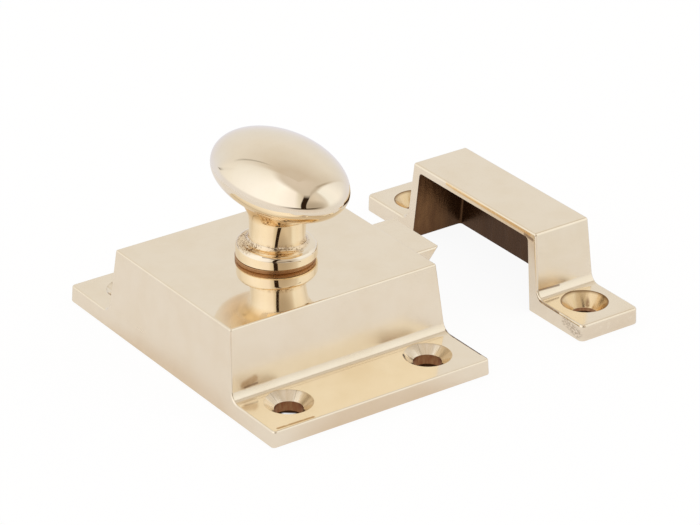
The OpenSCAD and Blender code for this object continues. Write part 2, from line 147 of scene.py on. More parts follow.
class WorksSizes(bpy.types.PropertyGroup):
    spindle_d: size("Spindle diameter", "Diameter of the spindle in the case", 6.4)
    tang_d: size("Tang diameter", "Diameter of the spindle inside the knob", 5.0)
    tang_len: size("Tang length", "How far the spindle reaches into the knob", 10.0)
    square_w: size("Square", "Width across the flats of the spindle's square", 4.4)
    tenon_d: size("Tenon diameter", "Diameter of the spindle's end before it is riveted over", 3.4)
    crank_r: size("Crank radius", "Distance from the spindle to the crank pin", 8.0)
    crank_t: size("Crank thickness", "Thickness of the crank", 2.0)
    hub_d: size("Hub diameter", "Diameter of the crank's hub", 8.8)
    eye_d: size("Eye diameter", "Diameter of the crank's eye round its pin", 4.8)
    arm_w: size("Arm width", "Width of the crank's arm", 4.0)
    pin_d: size("Pin diameter", "Diameter of the crank pin", 3.0)
    pin_neck_d: size("Pin neck diameter", "Diameter of the crank pin where it is riveted in", 2.2)
    crank_washer_t: size("Crank washer thickness", "Thickness of the washer under the crank", 0.5)
    crank_washer_d: size("Crank washer diameter", "Diameter of the washer under the crank", 7.2)
    rivet_h: size("Rivet height", "Height of the spindle's riveted end", 0.7)
    end_play: size("End play", "Room between the crank and the case's roof", 0.2)
    bolt_w: size("Bolt width", "Width of the bolt's nose", 12.3)
    bolt_t: size("Bolt height", "Height of the bolt's nose", 6.15)
    bolt_z: size("Bolt base", "Height of the bolt's underside above the door", 4.4)
    nose_x: size("Bolt reach", "Distance from the knob's axis to the tip of the bolt", 26.456)
    nose_cut: size("Bolt bevel", "How far the nose slopes back underneath", 5.16)
    block_x: size("Bolt block", "Where the bolt's thick block begins", 12.264)
    tail_x: size("Tail end", "How far the bolt's tail reaches behind the knob's axis", 3.068)
    tail_w: size("Tail width", "Width of the bolt's flat tail", 21.8)
    tail_t: size("Tail thickness", "Thickness of the bolt's flat tail", 2.4)
    seat_h: size("Seat height", "Height of the spring's seat", 3.1)
    seat_t: size("Seat thickness", "Thickness of the spring's seat", 1.8)
    peg_d: size("Peg diameter", "Diameter of the peg inside the spring", 2.6)
    peg_len: size("Peg length", "Length of the peg inside the spring", 5.0)
    spring_d: size("Spring diameter", "Outer diameter of the spring", 5.0)
    wire_d: size("Wire diameter", "Diameter of the spring wire", 0.6)
    pocket_deep: size("Pocket depth", "Depth of the spring's seat in the case's rear wall", 0.8)
    strap_t: size("Strap thickness", "Thickness of the strap that carries the tail", 1.0)
    strap_w: size("Strap width", "Width of the strap along the bolt", 12.0)
    strap_l: size("Strap length", "Length of the strap across the case", 29.2)
    lug_len: size("Lug length", "Length of the cast lugs along the bolt", 14.0)
    lug_screw_in: size("Lug screw distance", "Distance from a lug's inner face to its screw", 2.0)
    screw_d: size("Screw diameter", "Thread diameter of the strap's screws", 2.0)
    screw_len: size("Screw length", "Length of the strap's screws under the head", 5.0)
    screw_head_d: size("Screw head diameter", "Head diameter of the strap's screws", 3.6)
    screw_head_h: size("Screw head height", "Head height of the strap's screws", 1.3)
    turns: IntProperty(name="Turns", description="Number of turns in the spring", default=8, min=3, max=20)
    swing: FloatProperty(name="Swing", description="Angle through which the knob turns",
                         default=math.radians(54), subtype="ANGLE")


class LatchColours(bpy.types.PropertyGroup):
    brass: colour("Polished brass", "Polished, unlacquered yellow brass", "#F9EDD7")
    stain: colour("Stained brass", "Brass where handling has warmed it", "#E3C795")
    # Also the painted shadow on the floor under the castings, and the painted shade deep in the strike
    soot_and_shade: colour("Polish residue, and painted shade", "Dark residue of polish in pits and corners, and painted shade under and deep in the castings", "#4A3320")
    cast: colour("Cast skin", "Oxidised skin of the casting, left as cast inside", "#926B44")
    # Also a painted dark reflection along the case's flange edge at the bolt's end
    cast_dark_and_edge_reflection: colour("Cast skin, dark, and a painted dark reflection", "The darker streaks of the cast skin, and a painted dark reflection on an edge", "#6C4B2E")
    # Also the painted golden reflection along the strike's mouth edge
    gold_film_and_reflection: colour("Golden film, and a painted golden reflection", "Brass under the head, where the polish is thin, and a painted golden reflection on an edge", "#EFC98B")
    tarnish: colour("Tarnish", "Golden brown left in the corners", "#B48A4E")
    sink: colour("Countersunk brass", "Cut brass of the strike's countersinks", "#E8CEA5")
    # Also drawn as painted dark lines: the brown end of the reflection along the strike's mouth, and the
    # reflection bands in the case's countersinks
    residue: colour("Brown residue", "Brown polish residue and fine pits", "#7E5A34")
    bored: colour("Bored brass", "Walls of the drilled screw holes", "#96694A")
    zinc: colour("Zinc plate", "Plain zinc plating of the steel pieces", "#C4C7C9")
    wire: colour("Spring wire", "Drawn spring steel", "#8E9194")
    floor: colour("Mirrored floor", "White floor, as the brass mirrors it", "#EDEAEB")
    # Painted shadow of the castings on the mirrored floor, tinted by their brass
    floor_near_shaded: colour("Mirrored floor near by, painted shade", "The mirrored floor close to the castings, with their painted shadow", "#DDD0C6")


def in_mm(group):
    """The sizes of a group as plain numbers in millimetres"""
    lengths = {p.identifier for p in group.bl_rna.properties if p.type == "FLOAT" and p.unit == "LENGTH"}
    return SimpleNamespace(**{n: round(getattr(group, n) / MM, 4) if n in lengths else getattr(group, n)
                              for n in group.__annotations__})


def sizes():
    """All sizes, in one place, with those that follow from them"""
    scene = bpy.context.scene
    s = SimpleNamespace(**vars(in_mm(scene.latch_castings)), **vars(in_mm(scene.latch_knob)),
                        **vars(in_mm(scene.latch_works)))
    s.foot_y = s.box_w / 2 + s.wall_draft
    s.flange_y = s.foot_y + s.flange_w
    s.hole_y = s.foot_y + s.hole_out
    s.roof_z = s.case_h - s.wall_t
    s.collar_z = s.case_h + s.washer_t + TOUCH
    s.collar_top = s.collar_z + s.collar_t
    s.head_z = s.case_h + s.head_rise
    s.strap_top = s.bolt_z - SLIDE_FIT
    s.crank_top = s.roof_z - s.end_play
    s.crank_z = s.crank_top - s.crank_t
    s.pin_x = s.crank_r * math.sin(s.swing / 2)
    s.pin_y = s.crank_r * math.cos(s.swing / 2)
    s.spring_z = s.bolt_z + s.seat_h / 2
    s.seat_x = s.case_len / 2 - s.end_draft * s.spring_z / s.case_h - s.wall_t + s.pocket_deep
    s.lug_y = s.tail_w / 2 + SLIDE_FIT
    s.lug_screw_y = s.lug_y + s.lug_screw_in
    s.bore_r = s.spindle_d / 2 + TURN_FIT
    return s


def colours():
    """All colours as plain red, green, blue and alpha"""
    group = bpy.context.scene.latch_colours
    return SimpleNamespace(**{n: tuple(getattr(group, n)) for n in group.__annotations__})


# Modelling helpers

def settle():
    """Leaves edit mode and deselects everything"""
    if bpy.context.object and bpy.context.object.mode != "OBJECT":
        bpy.ops.object.mode_set(mode="OBJECT")
    bpy.ops.object.select_all(action="DESELECT")


def activate(piece):
    """Makes a piece the active one and the only one selected"""
    settle()
    bpy.context.view_layer.objects.active = piece
    piece.select_set(True)


def edit(piece, kind="FACE"):
    """Starts edit mode on a piece with everything selected"""
    activate(piece)
    bpy.ops.object.mode_set(mode="EDIT")
    bpy.ops.mesh.select_mode(type=kind)
    bpy.ops.mesh.select_all(action="SELECT")


def pick(piece, kind, test):
    """Selects in edit mode the vertices, edges or faces that pass a test"""
    bpy.ops.mesh.select_mode(type=kind)
    bpy.ops.mesh.select_all(action="DESELECT")
    mesh = bmesh.from_edit_mesh(piece.data)
    found = [e for e in {"VERT": mesh.verts, "EDGE": mesh.edges, "FACE": mesh.faces}[kind] if test(e)]
    if not found:
        raise RuntimeError(f"nothing to select on {piece.name}")
    for e in found:
        e.select_set(True)
    mesh.select_flush_mode()
    bmesh.update_edit_mesh(piece.data)


def mid(edge):
    """The middle of an edge"""
    return (edge.verts[0].co + edge.verts[1].co) / 2


def run(edge):
    """The direction of an edge"""
    return (edge.verts[1].co - edge.verts[0].co).normalized()


def corner(edge):
    """True for an edge between two faces that meet at a clear angle"""
    return len(edge.link_faces) == 2 and edge.calc_face_angle() > SHARP


def near(a, b, room=0.02):
    """True for two numbers that are almost the same"""
    return abs(a - b) < room


def extrude(move):
    """Extrudes what is selected"""
    bpy.ops.mesh.extrude_region_move(TRANSFORM_OT_translate={"value": move})


def resize(x, y, z, about=(0, 0, 0)):
    """Scales what is selected about a point"""
    bpy.ops.transform.resize(value=(x, y, z), center_override=about)


def bevel(width, steps):
    """Rounds the selected edges"""
    bpy.ops.mesh.bevel(offset=width, offset_type="OFFSET", segments=steps, profile=0.5, affect="EDGES",
                       clamp_overlap=False, loop_slide=True)


def block(name, low, high):
    """A box between two corners, with its place in its mesh"""
    settle()
    low, high = Vector(low), Vector(high)
    bpy.ops.mesh.primitive_cube_add(size=1, location=(low + high) / 2, scale=high - low)
    piece = bpy.context.object
    piece.name = piece.data.name = name
    bpy.ops.object.transform_apply(location=True, rotation=True, scale=True)
    return piece


def soft_block(name, low, high, edge=0.25, upright=0.0):
    """A box with soft edges, and with rounder upright edges where asked"""
    piece = block(name, low, high)
    edit(piece)
    if upright:
        pick(piece, "EDGE", lambda e: abs(run(e).z) > 0.9)
        bevel(upright, 10)
    pick(piece, "EDGE", corner)
    bevel(edge, 3)
    settle()
    return piece


def turned(name, rings, sides=64, at=(0, 0)):
    """A closed form drawn up along Z, ring by ring: each ring has its half width, half length and height"""
    settle()
    wide, long, level = rings[0]
    spot = (*at, level)
    bpy.ops.mesh.primitive_circle_add(vertices=sides, radius=wide, fill_type="NGON", location=spot)
    piece = bpy.context.object
    piece.name = piece.data.name = name
    bpy.ops.object.transform_apply(location=True, rotation=True, scale=True)
    edit(piece)
    resize(1, long / wide, 1, spot)
    for last, ring in zip(rings, rings[1:]):
        extrude((0, 0, ring[2] - last[2]))
        if ring[0] > 0:
            resize(ring[0] / last[0], ring[1] / last[1], 1, (*at, ring[2]))
        else:
            bpy.ops.mesh.merge(type="CENTER")
    settle()
    return piece


def round_rings(profile):
    """Rings of a round form from its radii and heights"""
    return [(r, r, z) for r, z in profile]


def arc(x, z, r, start, end, steps):
    """Points of an arc about (x, z), from one angle to another in degrees"""
    angles = [math.radians(start + (end - start) * i / steps) for i in range(steps + 1)]
    return [(x + r * math.cos(a), z + r * math.sin(a)) for a in angles]


def disc(name, r, low, high, edge=0.12, sides=64, at=(0, 0)):
    """A round piece with both rims slightly rounded"""
    profile = arc(r - edge, low + edge, edge, -90, 0, 3) + arc(r - edge, high - edge, edge, 0, 90, 3)
    return turned(name, round_rings(profile), sides, at)


def lay(piece, axis, angle, about=(0, 0, 0)):
    """Turns a piece about one axis, in its mesh"""
    edit(piece)
    bpy.ops.transform.rotate(value=-math.radians(angle), orient_axis=axis, center_override=about)
    settle()
    return piece


def shift(piece, move):
    """Moves a piece, in its mesh"""
    edit(piece)
    bpy.ops.transform.translate(value=move)
    settle()


def made_of(piece, material):
    """Gives a piece one material"""
    piece.data.materials.clear()
    piece.data.materials.append(material)
    return piece


def combine(piece, other, how="DIFFERENCE"):
    """Cuts the other piece away, or joins it on. Its own material stays on the faces that come from it."""
    activate(piece)
    modifier = piece.modifiers.new("Combine", "BOOLEAN")
    modifier.operation = how
    modifier.object = other
    modifier.solver = "EXACT"
    modifier.material_mode = "TRANSFER"
    bpy.ops.object.modifier_apply(modifier=modifier.name)
    bpy.data.objects.remove(other)
    if not piece.data.polygons:
        raise RuntimeError(f"nothing is left of {piece.name}")


def drill(piece, r, low, high, material=None, sides=64, at=(0, 0)):
    """Cuts a round hole from one height to another"""
    tool = turned("Cutter", round_rings([(r, low), (r, high)]), sides, at)
    combine(piece, made_of(tool, material) if material else tool)


def finish_piece(piece, node, body, room=0.0):
    """Cleans up a piece, brings it to metres, sets its normals and gives it to the frame for its node"""
    edit(piece)
    bpy.ops.mesh.remove_doubles(threshold=0.002)
    bpy.ops.mesh.dissolve_degenerate(threshold=0.001)
    bpy.ops.mesh.select_all(action="SELECT")
    bpy.ops.mesh.normals_make_consistent(inside=False)
    activate(piece)
    piece.scale = (MM, MM, MM)
    bpy.ops.object.transform_apply(location=True, rotation=True, scale=True)
    bpy.ops.object.shade_smooth_by_angle(angle=SHARP)
    modifier = piece.modifiers.new("Weighted", "WEIGHTED_NORMAL")
    modifier.keep_sharp = True
    bpy.ops.object.modifier_apply(modifier=modifier.name)
    low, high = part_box(node)
    spots = [v.co for v in piece.data.vertices]
    for axis in range(3):
        ends = min(p[axis] for p in spots) - low[axis], max(p[axis] for p in spots) - high[axis]
        if max(abs(e) for e in ends) > (room + STAND_OFF) * MM:
            raise RuntimeError(f"{piece.name} is off its node along axis {axis} by {ends}")
    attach(piece, body)
    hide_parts(node)


# Materials

def add(tree, kind, inputs=(), stops=None, **settings):
    """Adds a shader node with its settings and links. Its inputs come in order or by name, each a value,
    a node or a socket. The stops of a colour ramp are places and sRGB hex colours."""
    made = tree.nodes.new("ShaderNode" + kind)
    for name, value in settings.items():
        setattr(made, name, value)
    if stops:
        points = made.color_ramp.elements
        points.remove(points[1])
        points[0].position, points[0].color = stops[0][0], linear(stops[0][1])
        for place, text in stops[1:]:
            points.new(place).color = linear(text)
    live = [socket for socket in made.inputs if socket.enabled]
    for key, value in (inputs.items() if isinstance(inputs, dict) else enumerate(inputs)):
        socket = live[key] if isinstance(key, int) else next(s for s in live if s.name == key)
        if isinstance(value, bpy.types.Node):
            value = next(s for s in value.outputs if s.enabled)
        if isinstance(value, bpy.types.NodeSocket):
            tree.links.new(value, socket)
        else:
            socket.default_value = value
    return made


def patches(tree, place, feature, low, high, amount=1.0, detail=3.0, stretch=(1, 1, 1)):
    """Soft-edged patches of a real size in millimetres: a noise that fades in between two of its values"""
    spot = add(tree, "VectorMath", (place, stretch), operation="MULTIPLY")
    cloud = add(tree, "TexNoise", {"Vector": spot, "Scale": 1 / (feature * MM), "Detail": detail,
                                   "Roughness": 0.6})
    return add(tree, "MapRange", (cloud, low, high, 0.0, amount), **SOFT)


def stroke(tree, place, start, end, width, amount=1.0):
    """A soft-edged mark along a straight line between two points in millimetres"""
    first, line = Vector(start) * MM, (Vector(end) - Vector(start)) * MM
    off = add(tree, "VectorMath", (place, tuple(first)), operation="SUBTRACT")
    share = add(tree, "VectorMath", (off, tuple(line / line.length_squared)), operation="DOT_PRODUCT")
    share = add(tree, "Clamp", (share.outputs["Value"],))
    nearest = add(tree, "VectorMath", {"Vector": tuple(line), "Scale": share}, operation="SCALE")
    gap = add(tree, "VectorMath", (off, nearest), operation="DISTANCE").outputs["Value"]
    return add(tree, "MapRange", (gap, width * MM, 0.3 * width * MM, 0.0, amount), **SOFT)


def between(tree, value, start, full, fade, end):
    """A share that grows from start to full, and falls again from fade to end"""
    grow = add(tree, "MapRange", (value, start, full))
    fall = add(tree, "MapRange", (value, fade, end, 1.0, 0.0))
    return add(tree, "Math", (grow, fall), operation="MULTIPLY")


def band(tree, off, core, rim, amount=1.0):
    """A share that is full where a value is nearer to 0 than the core, and fades out at the rim"""
    off = add(tree, "Math", (off,), operation="ABSOLUTE")
    return add(tree, "MapRange", (off, core, rim, amount, 0.0), **SOFT)


def bow(tree, value, start, depth, level):
    """A line that runs level up to a start and bends away from there"""
    past = add(tree, "Math", (value, start), operation="SUBTRACT")
    past = add(tree, "Math", (past, 0.0), operation="MAXIMUM")
    past = add(tree, "Math", (past, past), operation="MULTIPLY")
    return add(tree, "Math", (past, depth, level), operation="MULTIPLY_ADD")


def over(tree, tint, shade, share, amount=1.0):
    """Lays a colour over a tint, by a share times an amount"""
    share = add(tree, "Math", (share, amount), operation="MULTIPLY")
    return add(tree, "Mix", (share, tint, shade), data_type="RGBA")


def stains_and_painted_lines(tree, place, tint, marks):
    """Lays broken marks on a tint, each a line in millimetres with its width, amount and colour: stains, and
    painted reflections along rounded edges
    """
    for start, end, width, amount, shade in marks:
        mark = stroke(tree, place, start, end, width, amount)
        tint = over(tree, tint, shade, mark, patches(tree, place, 0.9, 0.2, 0.46))
    return tint


def material(name, **values):
    """A material with one principled shader. Returns it, its node tree, the shader and Object coordinates."""
    made = bpy.data.materials.new(name)
    made.use_nodes = True
    tree = made.node_tree
    tree.nodes.clear()
    shader = add(tree, "BsdfPrincipled", {k.replace("_", " "): v for k, v in values.items()})
    add(tree, "OutputMaterial", {"Surface": shader})
    return made, tree, shader, add(tree, "TexCoord").outputs["Object"]


def connect(tree, shader, **nodes):
    """Links nodes to the inputs of a shader, by their names"""
    for name, node in nodes.items():
        tree.links.new(next(s for s in node.outputs if s.enabled), shader.inputs[name.replace("_", " ")])


def handled(c, tree, place, smooth):
    """Colour and roughness of polished brass under a faint warm haze of handling"""
    haze = patches(tree, place, 6.0, 0.3, 0.8)
    rough = add(tree, "Math", (haze, 0.02, smooth), operation="MULTIPLY_ADD")
    return over(tree, c.brass, c.stain, haze, 0.15), rough


def swell(tree, place, depth):
    """Long soft waves that buffing leaves in a polished face"""
    waves = add(tree, "TexNoise", {"Vector": place, "Scale": 1 / (14 * MM), "Detail": 1.0})
    return add(tree, "Bump", {"Height": waves, "Distance": depth * MM})


def polished_brass(c, name="Polished brass, buffed by hand", marks=(), scuffs=()):
    """Cast brass, filed and buffed: the flat tops are mirrors, while the walls and flanges, where the wheel
    reaches less well, blur a little. Fine lines, long soft waves and a warm haze of handling lie over all.
    Brown marks are left in the corners that the wheel misses, painted golden and dark reflections lie along
    some rounded edges, and file scuffs show as rough dark grain."""
    made, tree, shader, place = material(name, Metallic=1.0)
    # The blur by height: on the flanges, up the walls, and on the flat tops
    level = add(tree, "MapRange", (add(tree, "SeparateXYZ", (place,)).outputs["Z"], 0.0, 16 * MM))
    blur = add(tree, "ValToRGB", (level,), [(0.17, "#616161"), (0.22, "#8C8C8C"), (0.5, "#787878"),
                                            (0.78, "#666666"), (0.82, "#3C3C3C")])
    tint, rough = handled(c, tree, place, blur)
    tint = stains_and_painted_lines(tree, place, tint, marks)
    for start, end, width in scuffs:
        grain = patches(tree, place, 0.28, 0.35, 0.6, stretch=(1.0, 0.6, 1.4))
        scuff = add(tree, "Math", (stroke(tree, place, start, end, width), grain), operation="MULTIPLY")
        rough = add(tree, "Math", (scuff, 0.12, rough), operation="MULTIPLY_ADD")
        tint = over(tree, tint, c.residue, scuff, 0.45)
    # Real buffing lines are too fine to show, so these are drawn coarser
    lines = patches(tree, place, 0.3, 0.2, 0.8, stretch=(0.1, 1.0, 1.0))
    waves = swell(tree, place, 0.004)
    normal = add(tree, "Bump", {"Height": lines, "Distance": 0.0004 * MM, "Normal": waves})
    connect(tree, shader, Base_Color=tint, Roughness=rough, Normal=normal)
    return made


def knob_brass(c, s):
    """The same brass turned and buffed to a mirror, with casting pits left round the root of the neck and
    brown polish residue under the head, where the wheel can't reach"""
    made, tree, shader, place = material("Polished brass, pitted at the neck's root", Metallic=1.0)
    height = add(tree, "SeparateXYZ", (place,)).outputs["Z"]
    tint, rough = handled(c, tree, place, 0.03)
    # Pits lie round the neck's root, and out to the collar's edge on the side that is left in the picture
    flat = add(tree, "VectorMath", (place, (1.0, 1.0, 0.0)), operation="MULTIPLY")
    out = add(tree, "VectorMath", (flat,), operation="LENGTH").outputs["Value"]
    left = add(tree, "VectorMath", (flat, (-0.97, 0.25, 0.0)), operation="DOT_PRODUCT").outputs["Value"]
    left = add(tree, "MapRange", (left, 3.0 * MM, 5.5 * MM, 0.0, 0.9 * MM))
    out = add(tree, "Math", (out, left), operation="SUBTRACT")
    rim = s.collar_d / 2
    ring = add(tree, "MapRange", (out, (rim - 1.5) * MM, (rim - 0.9) * MM, 1.0, 0.0))
    at_root = between(tree, height, *((s.collar_top + z) * MM for z in (-0.5, -0.15, 0.3, 1.3)))
    ring = add(tree, "Math", (ring, at_root), operation="MULTIPLY")
    spread = add(tree, "Math", (ring, patches(tree, place, 1.6, 0.36, 0.56)), operation="MULTIPLY")
    pits = add(tree, "Math", (spread, patches(tree, place, 0.26, 0.44, 0.6)), operation="MULTIPLY")
    # Under the head and round the root the brass is golden, with soft brown patches
    under = between(tree, height, (s.head_z - s.head_under - 1.6) * MM, (s.head_z - s.head_under) * MM,
                    (s.head_z - 4.0) * MM, (s.head_z - 1.5) * MM)
    film = add(tree, "Math", (under, 0.8), operation="MULTIPLY")
    ring = add(tree, "Math", (ring, 0.45), operation="MULTIPLY")
    film = add(tree, "Math", (ring, film), operation="MAXIMUM")
    tint = over(tree, tint, c.gold_film_and_reflection, film)
    brown = patches(tree, place, 3.0, 0.35, 0.75, 0.22, detail=1.0, stretch=(1.0, 1.0, 2.0))
    tint = over(tree, tint, c.residue, under, brown)
    tint = over(tree, tint, c.residue, pits, 0.9)
    # Scratches run along the collar's round edge
    bends = [(-4.7, -3.61, 16.46), (-3.3, -5.15, 16.3), (-1.37, -6.17, 15.89), (0.3, -6.4, 15.5)]
    scratches = list(zip(bends, bends[1:], (0.12, 0.12, 0.09)))
    for start, end, width in scratches + [((-3.5, -4.6, 16.6), (-2.6, -5.2, 16.5), 0.16)]:
        tint = over(tree, tint, c.residue, stroke(tree, place, start, end, width, 0.7))
    rough = add(tree, "Math", (pits, 0.3, rough), operation="MULTIPLY_ADD")
    waves = swell(tree, place, 0.003)
    normal = add(tree, "Bump", {"Height": pits, "Distance": 0.0045 * MM, "Normal": waves}, invert=True)
    connect(tree, shader, Base_Color=tint, Roughness=rough, Normal=normal)
    return made


def cast_skin(c):
    """The skin of the casting inside, oxidised brown in the sand mould and never dressed, with lighter
    streaks. It is darker deep in the strike, where the light doesn't reach."""
    made, tree, shader, place = material("Brass casting skin, oxidised", Metallic=0.9)
    streak = patches(tree, place, 3.0, 0.35, 0.7, 0.7, stretch=(1.0, 1.0, 0.25))
    grain = patches(tree, place, 0.3, 0.3, 0.7)
    tint = over(tree, c.cast_dark_and_edge_reflection, c.cast, streak)
    # Painted shade: the skin turns darker deep in the strike
    deep = add(tree, "MapRange", (add(tree, "SeparateXYZ", (place,)).outputs["X"], 40.5 * MM, 44.5 * MM))
    tint = over(tree, tint, c.soot_and_shade, deep, 0.8)
    rough = add(tree, "Math", (grain, 0.12, 0.24), operation="MULTIPLY_ADD")
    normal = add(tree, "Bump", {"Height": streak, "Distance": 0.04 * MM})
    normal = add(tree, "Bump", {"Height": grain, "Distance": 0.006 * MM, "Normal": normal})
    connect(tree, shader, Base_Color=tint, Roughness=rough, Normal=normal)
    return made


def cut_brass(c, s, name, middle_x, shade, smooth, mirrored=True, streaks=0.6, rim=0.0, lines=0.0, marks=()):
    """Brass cut by a drill or a countersink: the tool's streaks and lines run down the cut and its chatter
    runs round it; the dark lines are partly painted reflection bands of the cone.
    Polish stays as a brown line round the rim. Mirrored holes lie at both ends of a flange."""
    made, tree, shader, place = material(name, Metallic=1.0)
    parts = add(tree, "SeparateXYZ", (place,))
    along = parts.outputs["X"]
    if mirrored:
        along = add(tree, "Math", (along,), operation="ABSOLUTE")
    along = add(tree, "Math", (along, middle_x * MM), operation="SUBTRACT")
    across = add(tree, "Math", (parts.outputs["Y"],), operation="ABSOLUTE")
    across = add(tree, "Math", (across, s.hole_y * MM), operation="SUBTRACT")
    angle = add(tree, "Math", (across, along), operation="ARCTAN2")
    down = add(tree, "Math", (parts.outputs["Z"], 0.12 / MM), operation="MULTIPLY")
    round_it = add(tree, "CombineXYZ", (angle, down))
    streak = add(tree, "TexNoise", {"Vector": round_it, "Scale": 4.0, "Detail": 3.0})
    tint = over(tree, shade, c.stain, add(tree, "MapRange", (streak, 0.42, 0.7, 0.0, streaks)))
    # Dark radial lines: partly the tool's lines, partly painted reflection bands of the cone
    round_it = add(tree, "CombineXYZ", (angle,))
    line = add(tree, "TexNoise", {"Vector": round_it, "Scale": 7.0, "Detail": 1.0})
    tint = over(tree, tint, c.residue, add(tree, "MapRange", (line, 0.6, 0.72, 0.0, lines)))
    out = add(tree, "CombineXYZ", (along, across))
    out = add(tree, "VectorMath", (out,), operation="LENGTH").outputs["Value"]
    edge = s.sink_d / 2
    dirt = add(tree, "MapRange", (out, (edge - 0.3) * MM, (edge - 0.05) * MM, 0.0, rim))
    tint = stains_and_painted_lines(tree, place, over(tree, tint, c.residue, dirt), marks)
    rough = add(tree, "Math", (streak, 0.2, smooth), operation="MULTIPLY_ADD")
    chatter = patches(tree, place, 0.3, 0.2, 0.8, stretch=(0.3, 0.3, 1.0))
    normal = add(tree, "Bump", {"Height": streak, "Distance": 0.03 * MM})
    normal = add(tree, "Bump", {"Height": chatter, "Distance": 0.003 * MM, "Normal": normal})
    connect(tree, shader, Base_Color=tint, Roughness=rough, Normal=normal)
    return made


def tarnished_and_shaded_washer(c, s):
    """A brass washer that the polish never reaches, brown with tarnish and turned with fine rings. Its brown
    is also painted shade of the gap under the collar, darker towards the bottom, with painted reflection
    bands.
    """
    made, tree, shader, place = material("Brass washer, tarnished", Metallic=1.0)
    height = add(tree, "SeparateXYZ", (place,)).outputs["Z"]
    level = add(tree, "MapRange", (height, s.case_h * MM, (s.case_h + s.washer_t) * MM))
    # Painted shade of the gap under the collar over the tarnish: darker towards the bottom, with lighter and
    # darker bands for its reflections
    tarnish_and_shade_by_height = add(tree, "ValToRGB", (level,), [(0.0, "#8F6138"), (0.22, "#96673D"), (0.32, "#B0835A"),
                                              (0.5, "#B98D65"), (0.58, "#A27550"), (0.66, "#B9916A"),
                                              (1.0, "#B48B62")])
    patch = patches(tree, place, 2.5, 0.4, 0.75, 0.35)
    rough = add(tree, "Math", (patch, 0.3, 0.26), operation="MULTIPLY_ADD")
    rings = patches(tree, place, 0.15, 0.2, 0.8, stretch=(0.05, 0.05, 1.0))
    normal = add(tree, "Bump", {"Height": rings, "Distance": 0.01 * MM})
    connect(tree, shader, Base_Color=over(tree, tarnish_and_shade_by_height, c.residue, patch), Roughness=rough, Normal=normal)
    return made


def plated_steel(c):
    """Mild steel, stamped and plain zinc plated: a faint grey bloom over fine grain"""
    made, tree, shader, place = material("Steel, zinc plated", Metallic=1.0)
    bloom = patches(tree, place, 2.5, 0.4, 0.7)
    grain = patches(tree, place, 0.15, 0.3, 0.7)
    rough = add(tree, "Math", (bloom, 0.12, 0.24), operation="MULTIPLY_ADD")
    normal = add(tree, "Bump", {"Height": grain, "Distance": 0.003 * MM})
    connect(tree, shader, Base_Color=over(tree, c.zinc, c.wire, bloom, 0.4), Roughness=rough, Normal=normal)
    return made


def spring_wire(c):
    """Hard drawn spring wire, with the die's faint lines and a film of oil"""
    made, tree, shader, place = material("Spring wire, drawn", Metallic=1.0)
    oil = patches(tree, place, 1.5, 0.4, 0.7)
    lines = patches(tree, place, 0.1, 0.3, 0.7, stretch=(1.0, 0.2, 0.2))
    rough = add(tree, "Math", (oil, 0.12, 0.2), operation="MULTIPLY_ADD")
    normal = add(tree, "Bump", {"Height": lines, "Distance": 0.002 * MM})
    connect(tree, shader, Base_Color=over(tree, c.wire, c.soot_and_shade, oil, 0.5), Roughness=rough, Normal=normal)
    return made


def kept(name, maker, c):
    """A material made once and used by several operators"""
    store = bpy.context.scene
    if name not in store:
        store[name] = maker(c).name
    return bpy.data.materials[store[name]]


# Forms that the castings share

def hat_casting(name, s, length, height, flange_t, draft, worn=1.0):
    """A drafted box between two flanges, with a round foot and edges worn by polishing, at the origin"""
    half = length / 2
    piece = block(name, (-half, -s.foot_y, 0), (half, s.foot_y, flange_t))
    edit(piece)
    for side in (-1, 1):
        pick(piece, "FACE", lambda f: f.normal.y * side > 0.9)
        extrude((0, side * s.flange_w, 0))
    pick(piece, "FACE", lambda f: f.normal.z > 0.9 and abs(f.calc_center_median().y) < s.foot_y / 2)
    extrude((0, 0, height - flange_t))
    top = half - draft
    pick(piece, "VERT", lambda v: near(v.co.z, height))
    resize(top / half, s.box_w / 2 / s.foot_y, 1)
    pick(piece, "VERT", lambda v: near(v.co.z, flange_t))
    resize(1 - draft * flange_t / height / half, 1, 1)
    bpy.ops.mesh.select_all(action="SELECT")
    bpy.ops.mesh.dissolve_limited(angle_limit=0.01)
    pick(piece, "EDGE", lambda e: (near(mid(e).z, flange_t) and near(abs(mid(e).y), s.foot_y)
                                   and abs(run(e).x) > 0.9))
    lean = math.atan2(s.wall_draft, height - flange_t)
    bevel(s.foot_r / math.tan((math.pi / 2 + lean) / 2), 10)
    pick(piece, "EDGE", lambda e: near(abs(mid(e).y), s.flange_y) and abs(run(e).z) > 0.9)
    bevel(s.corner_r * worn, 8)
    pick(piece, "EDGE", lambda e: corner(e) and mid(e).z > 0.1)
    bevel(s.edge_r * worn, 4)
    pick(piece, "EDGE", lambda e: corner(e) and mid(e).z < 0.1)
    bevel(0.2, 2)
    settle()
    return piece


def screw_cutter(s, flange_t, deep, at, sink, bore):
    """What a drill and a countersink take out of a flange, with the rim just broken"""
    hole, rim, soft = s.hole_d / 2, s.sink_d / 2, 0.1
    cone = [(hole, flange_t - deep), (rim - soft, flange_t - 0.75 * soft)]
    lip = [(rim - 0.3 * soft, flange_t - 0.35 * soft), (rim + 0.4 * soft, flange_t - 0.08 * soft),
           (rim + soft, flange_t + 0.02), (rim + soft, flange_t + 1)]
    rings = round_rings([(hole, -1), (hole, flange_t - deep - 0.05)] + cone + lip)
    piece = made_of(turned("Cutter", rings, 96, at), bore)
    piece.data.materials.append(sink)
    edit(piece)
    pick(piece, "FACE", lambda f: f.calc_center_median().z > flange_t - deep - 0.06)
    piece.active_material_index = 1
    bpy.ops.object.material_slot_assign()
    settle()
    return piece


# One operator for each piece or group of pieces

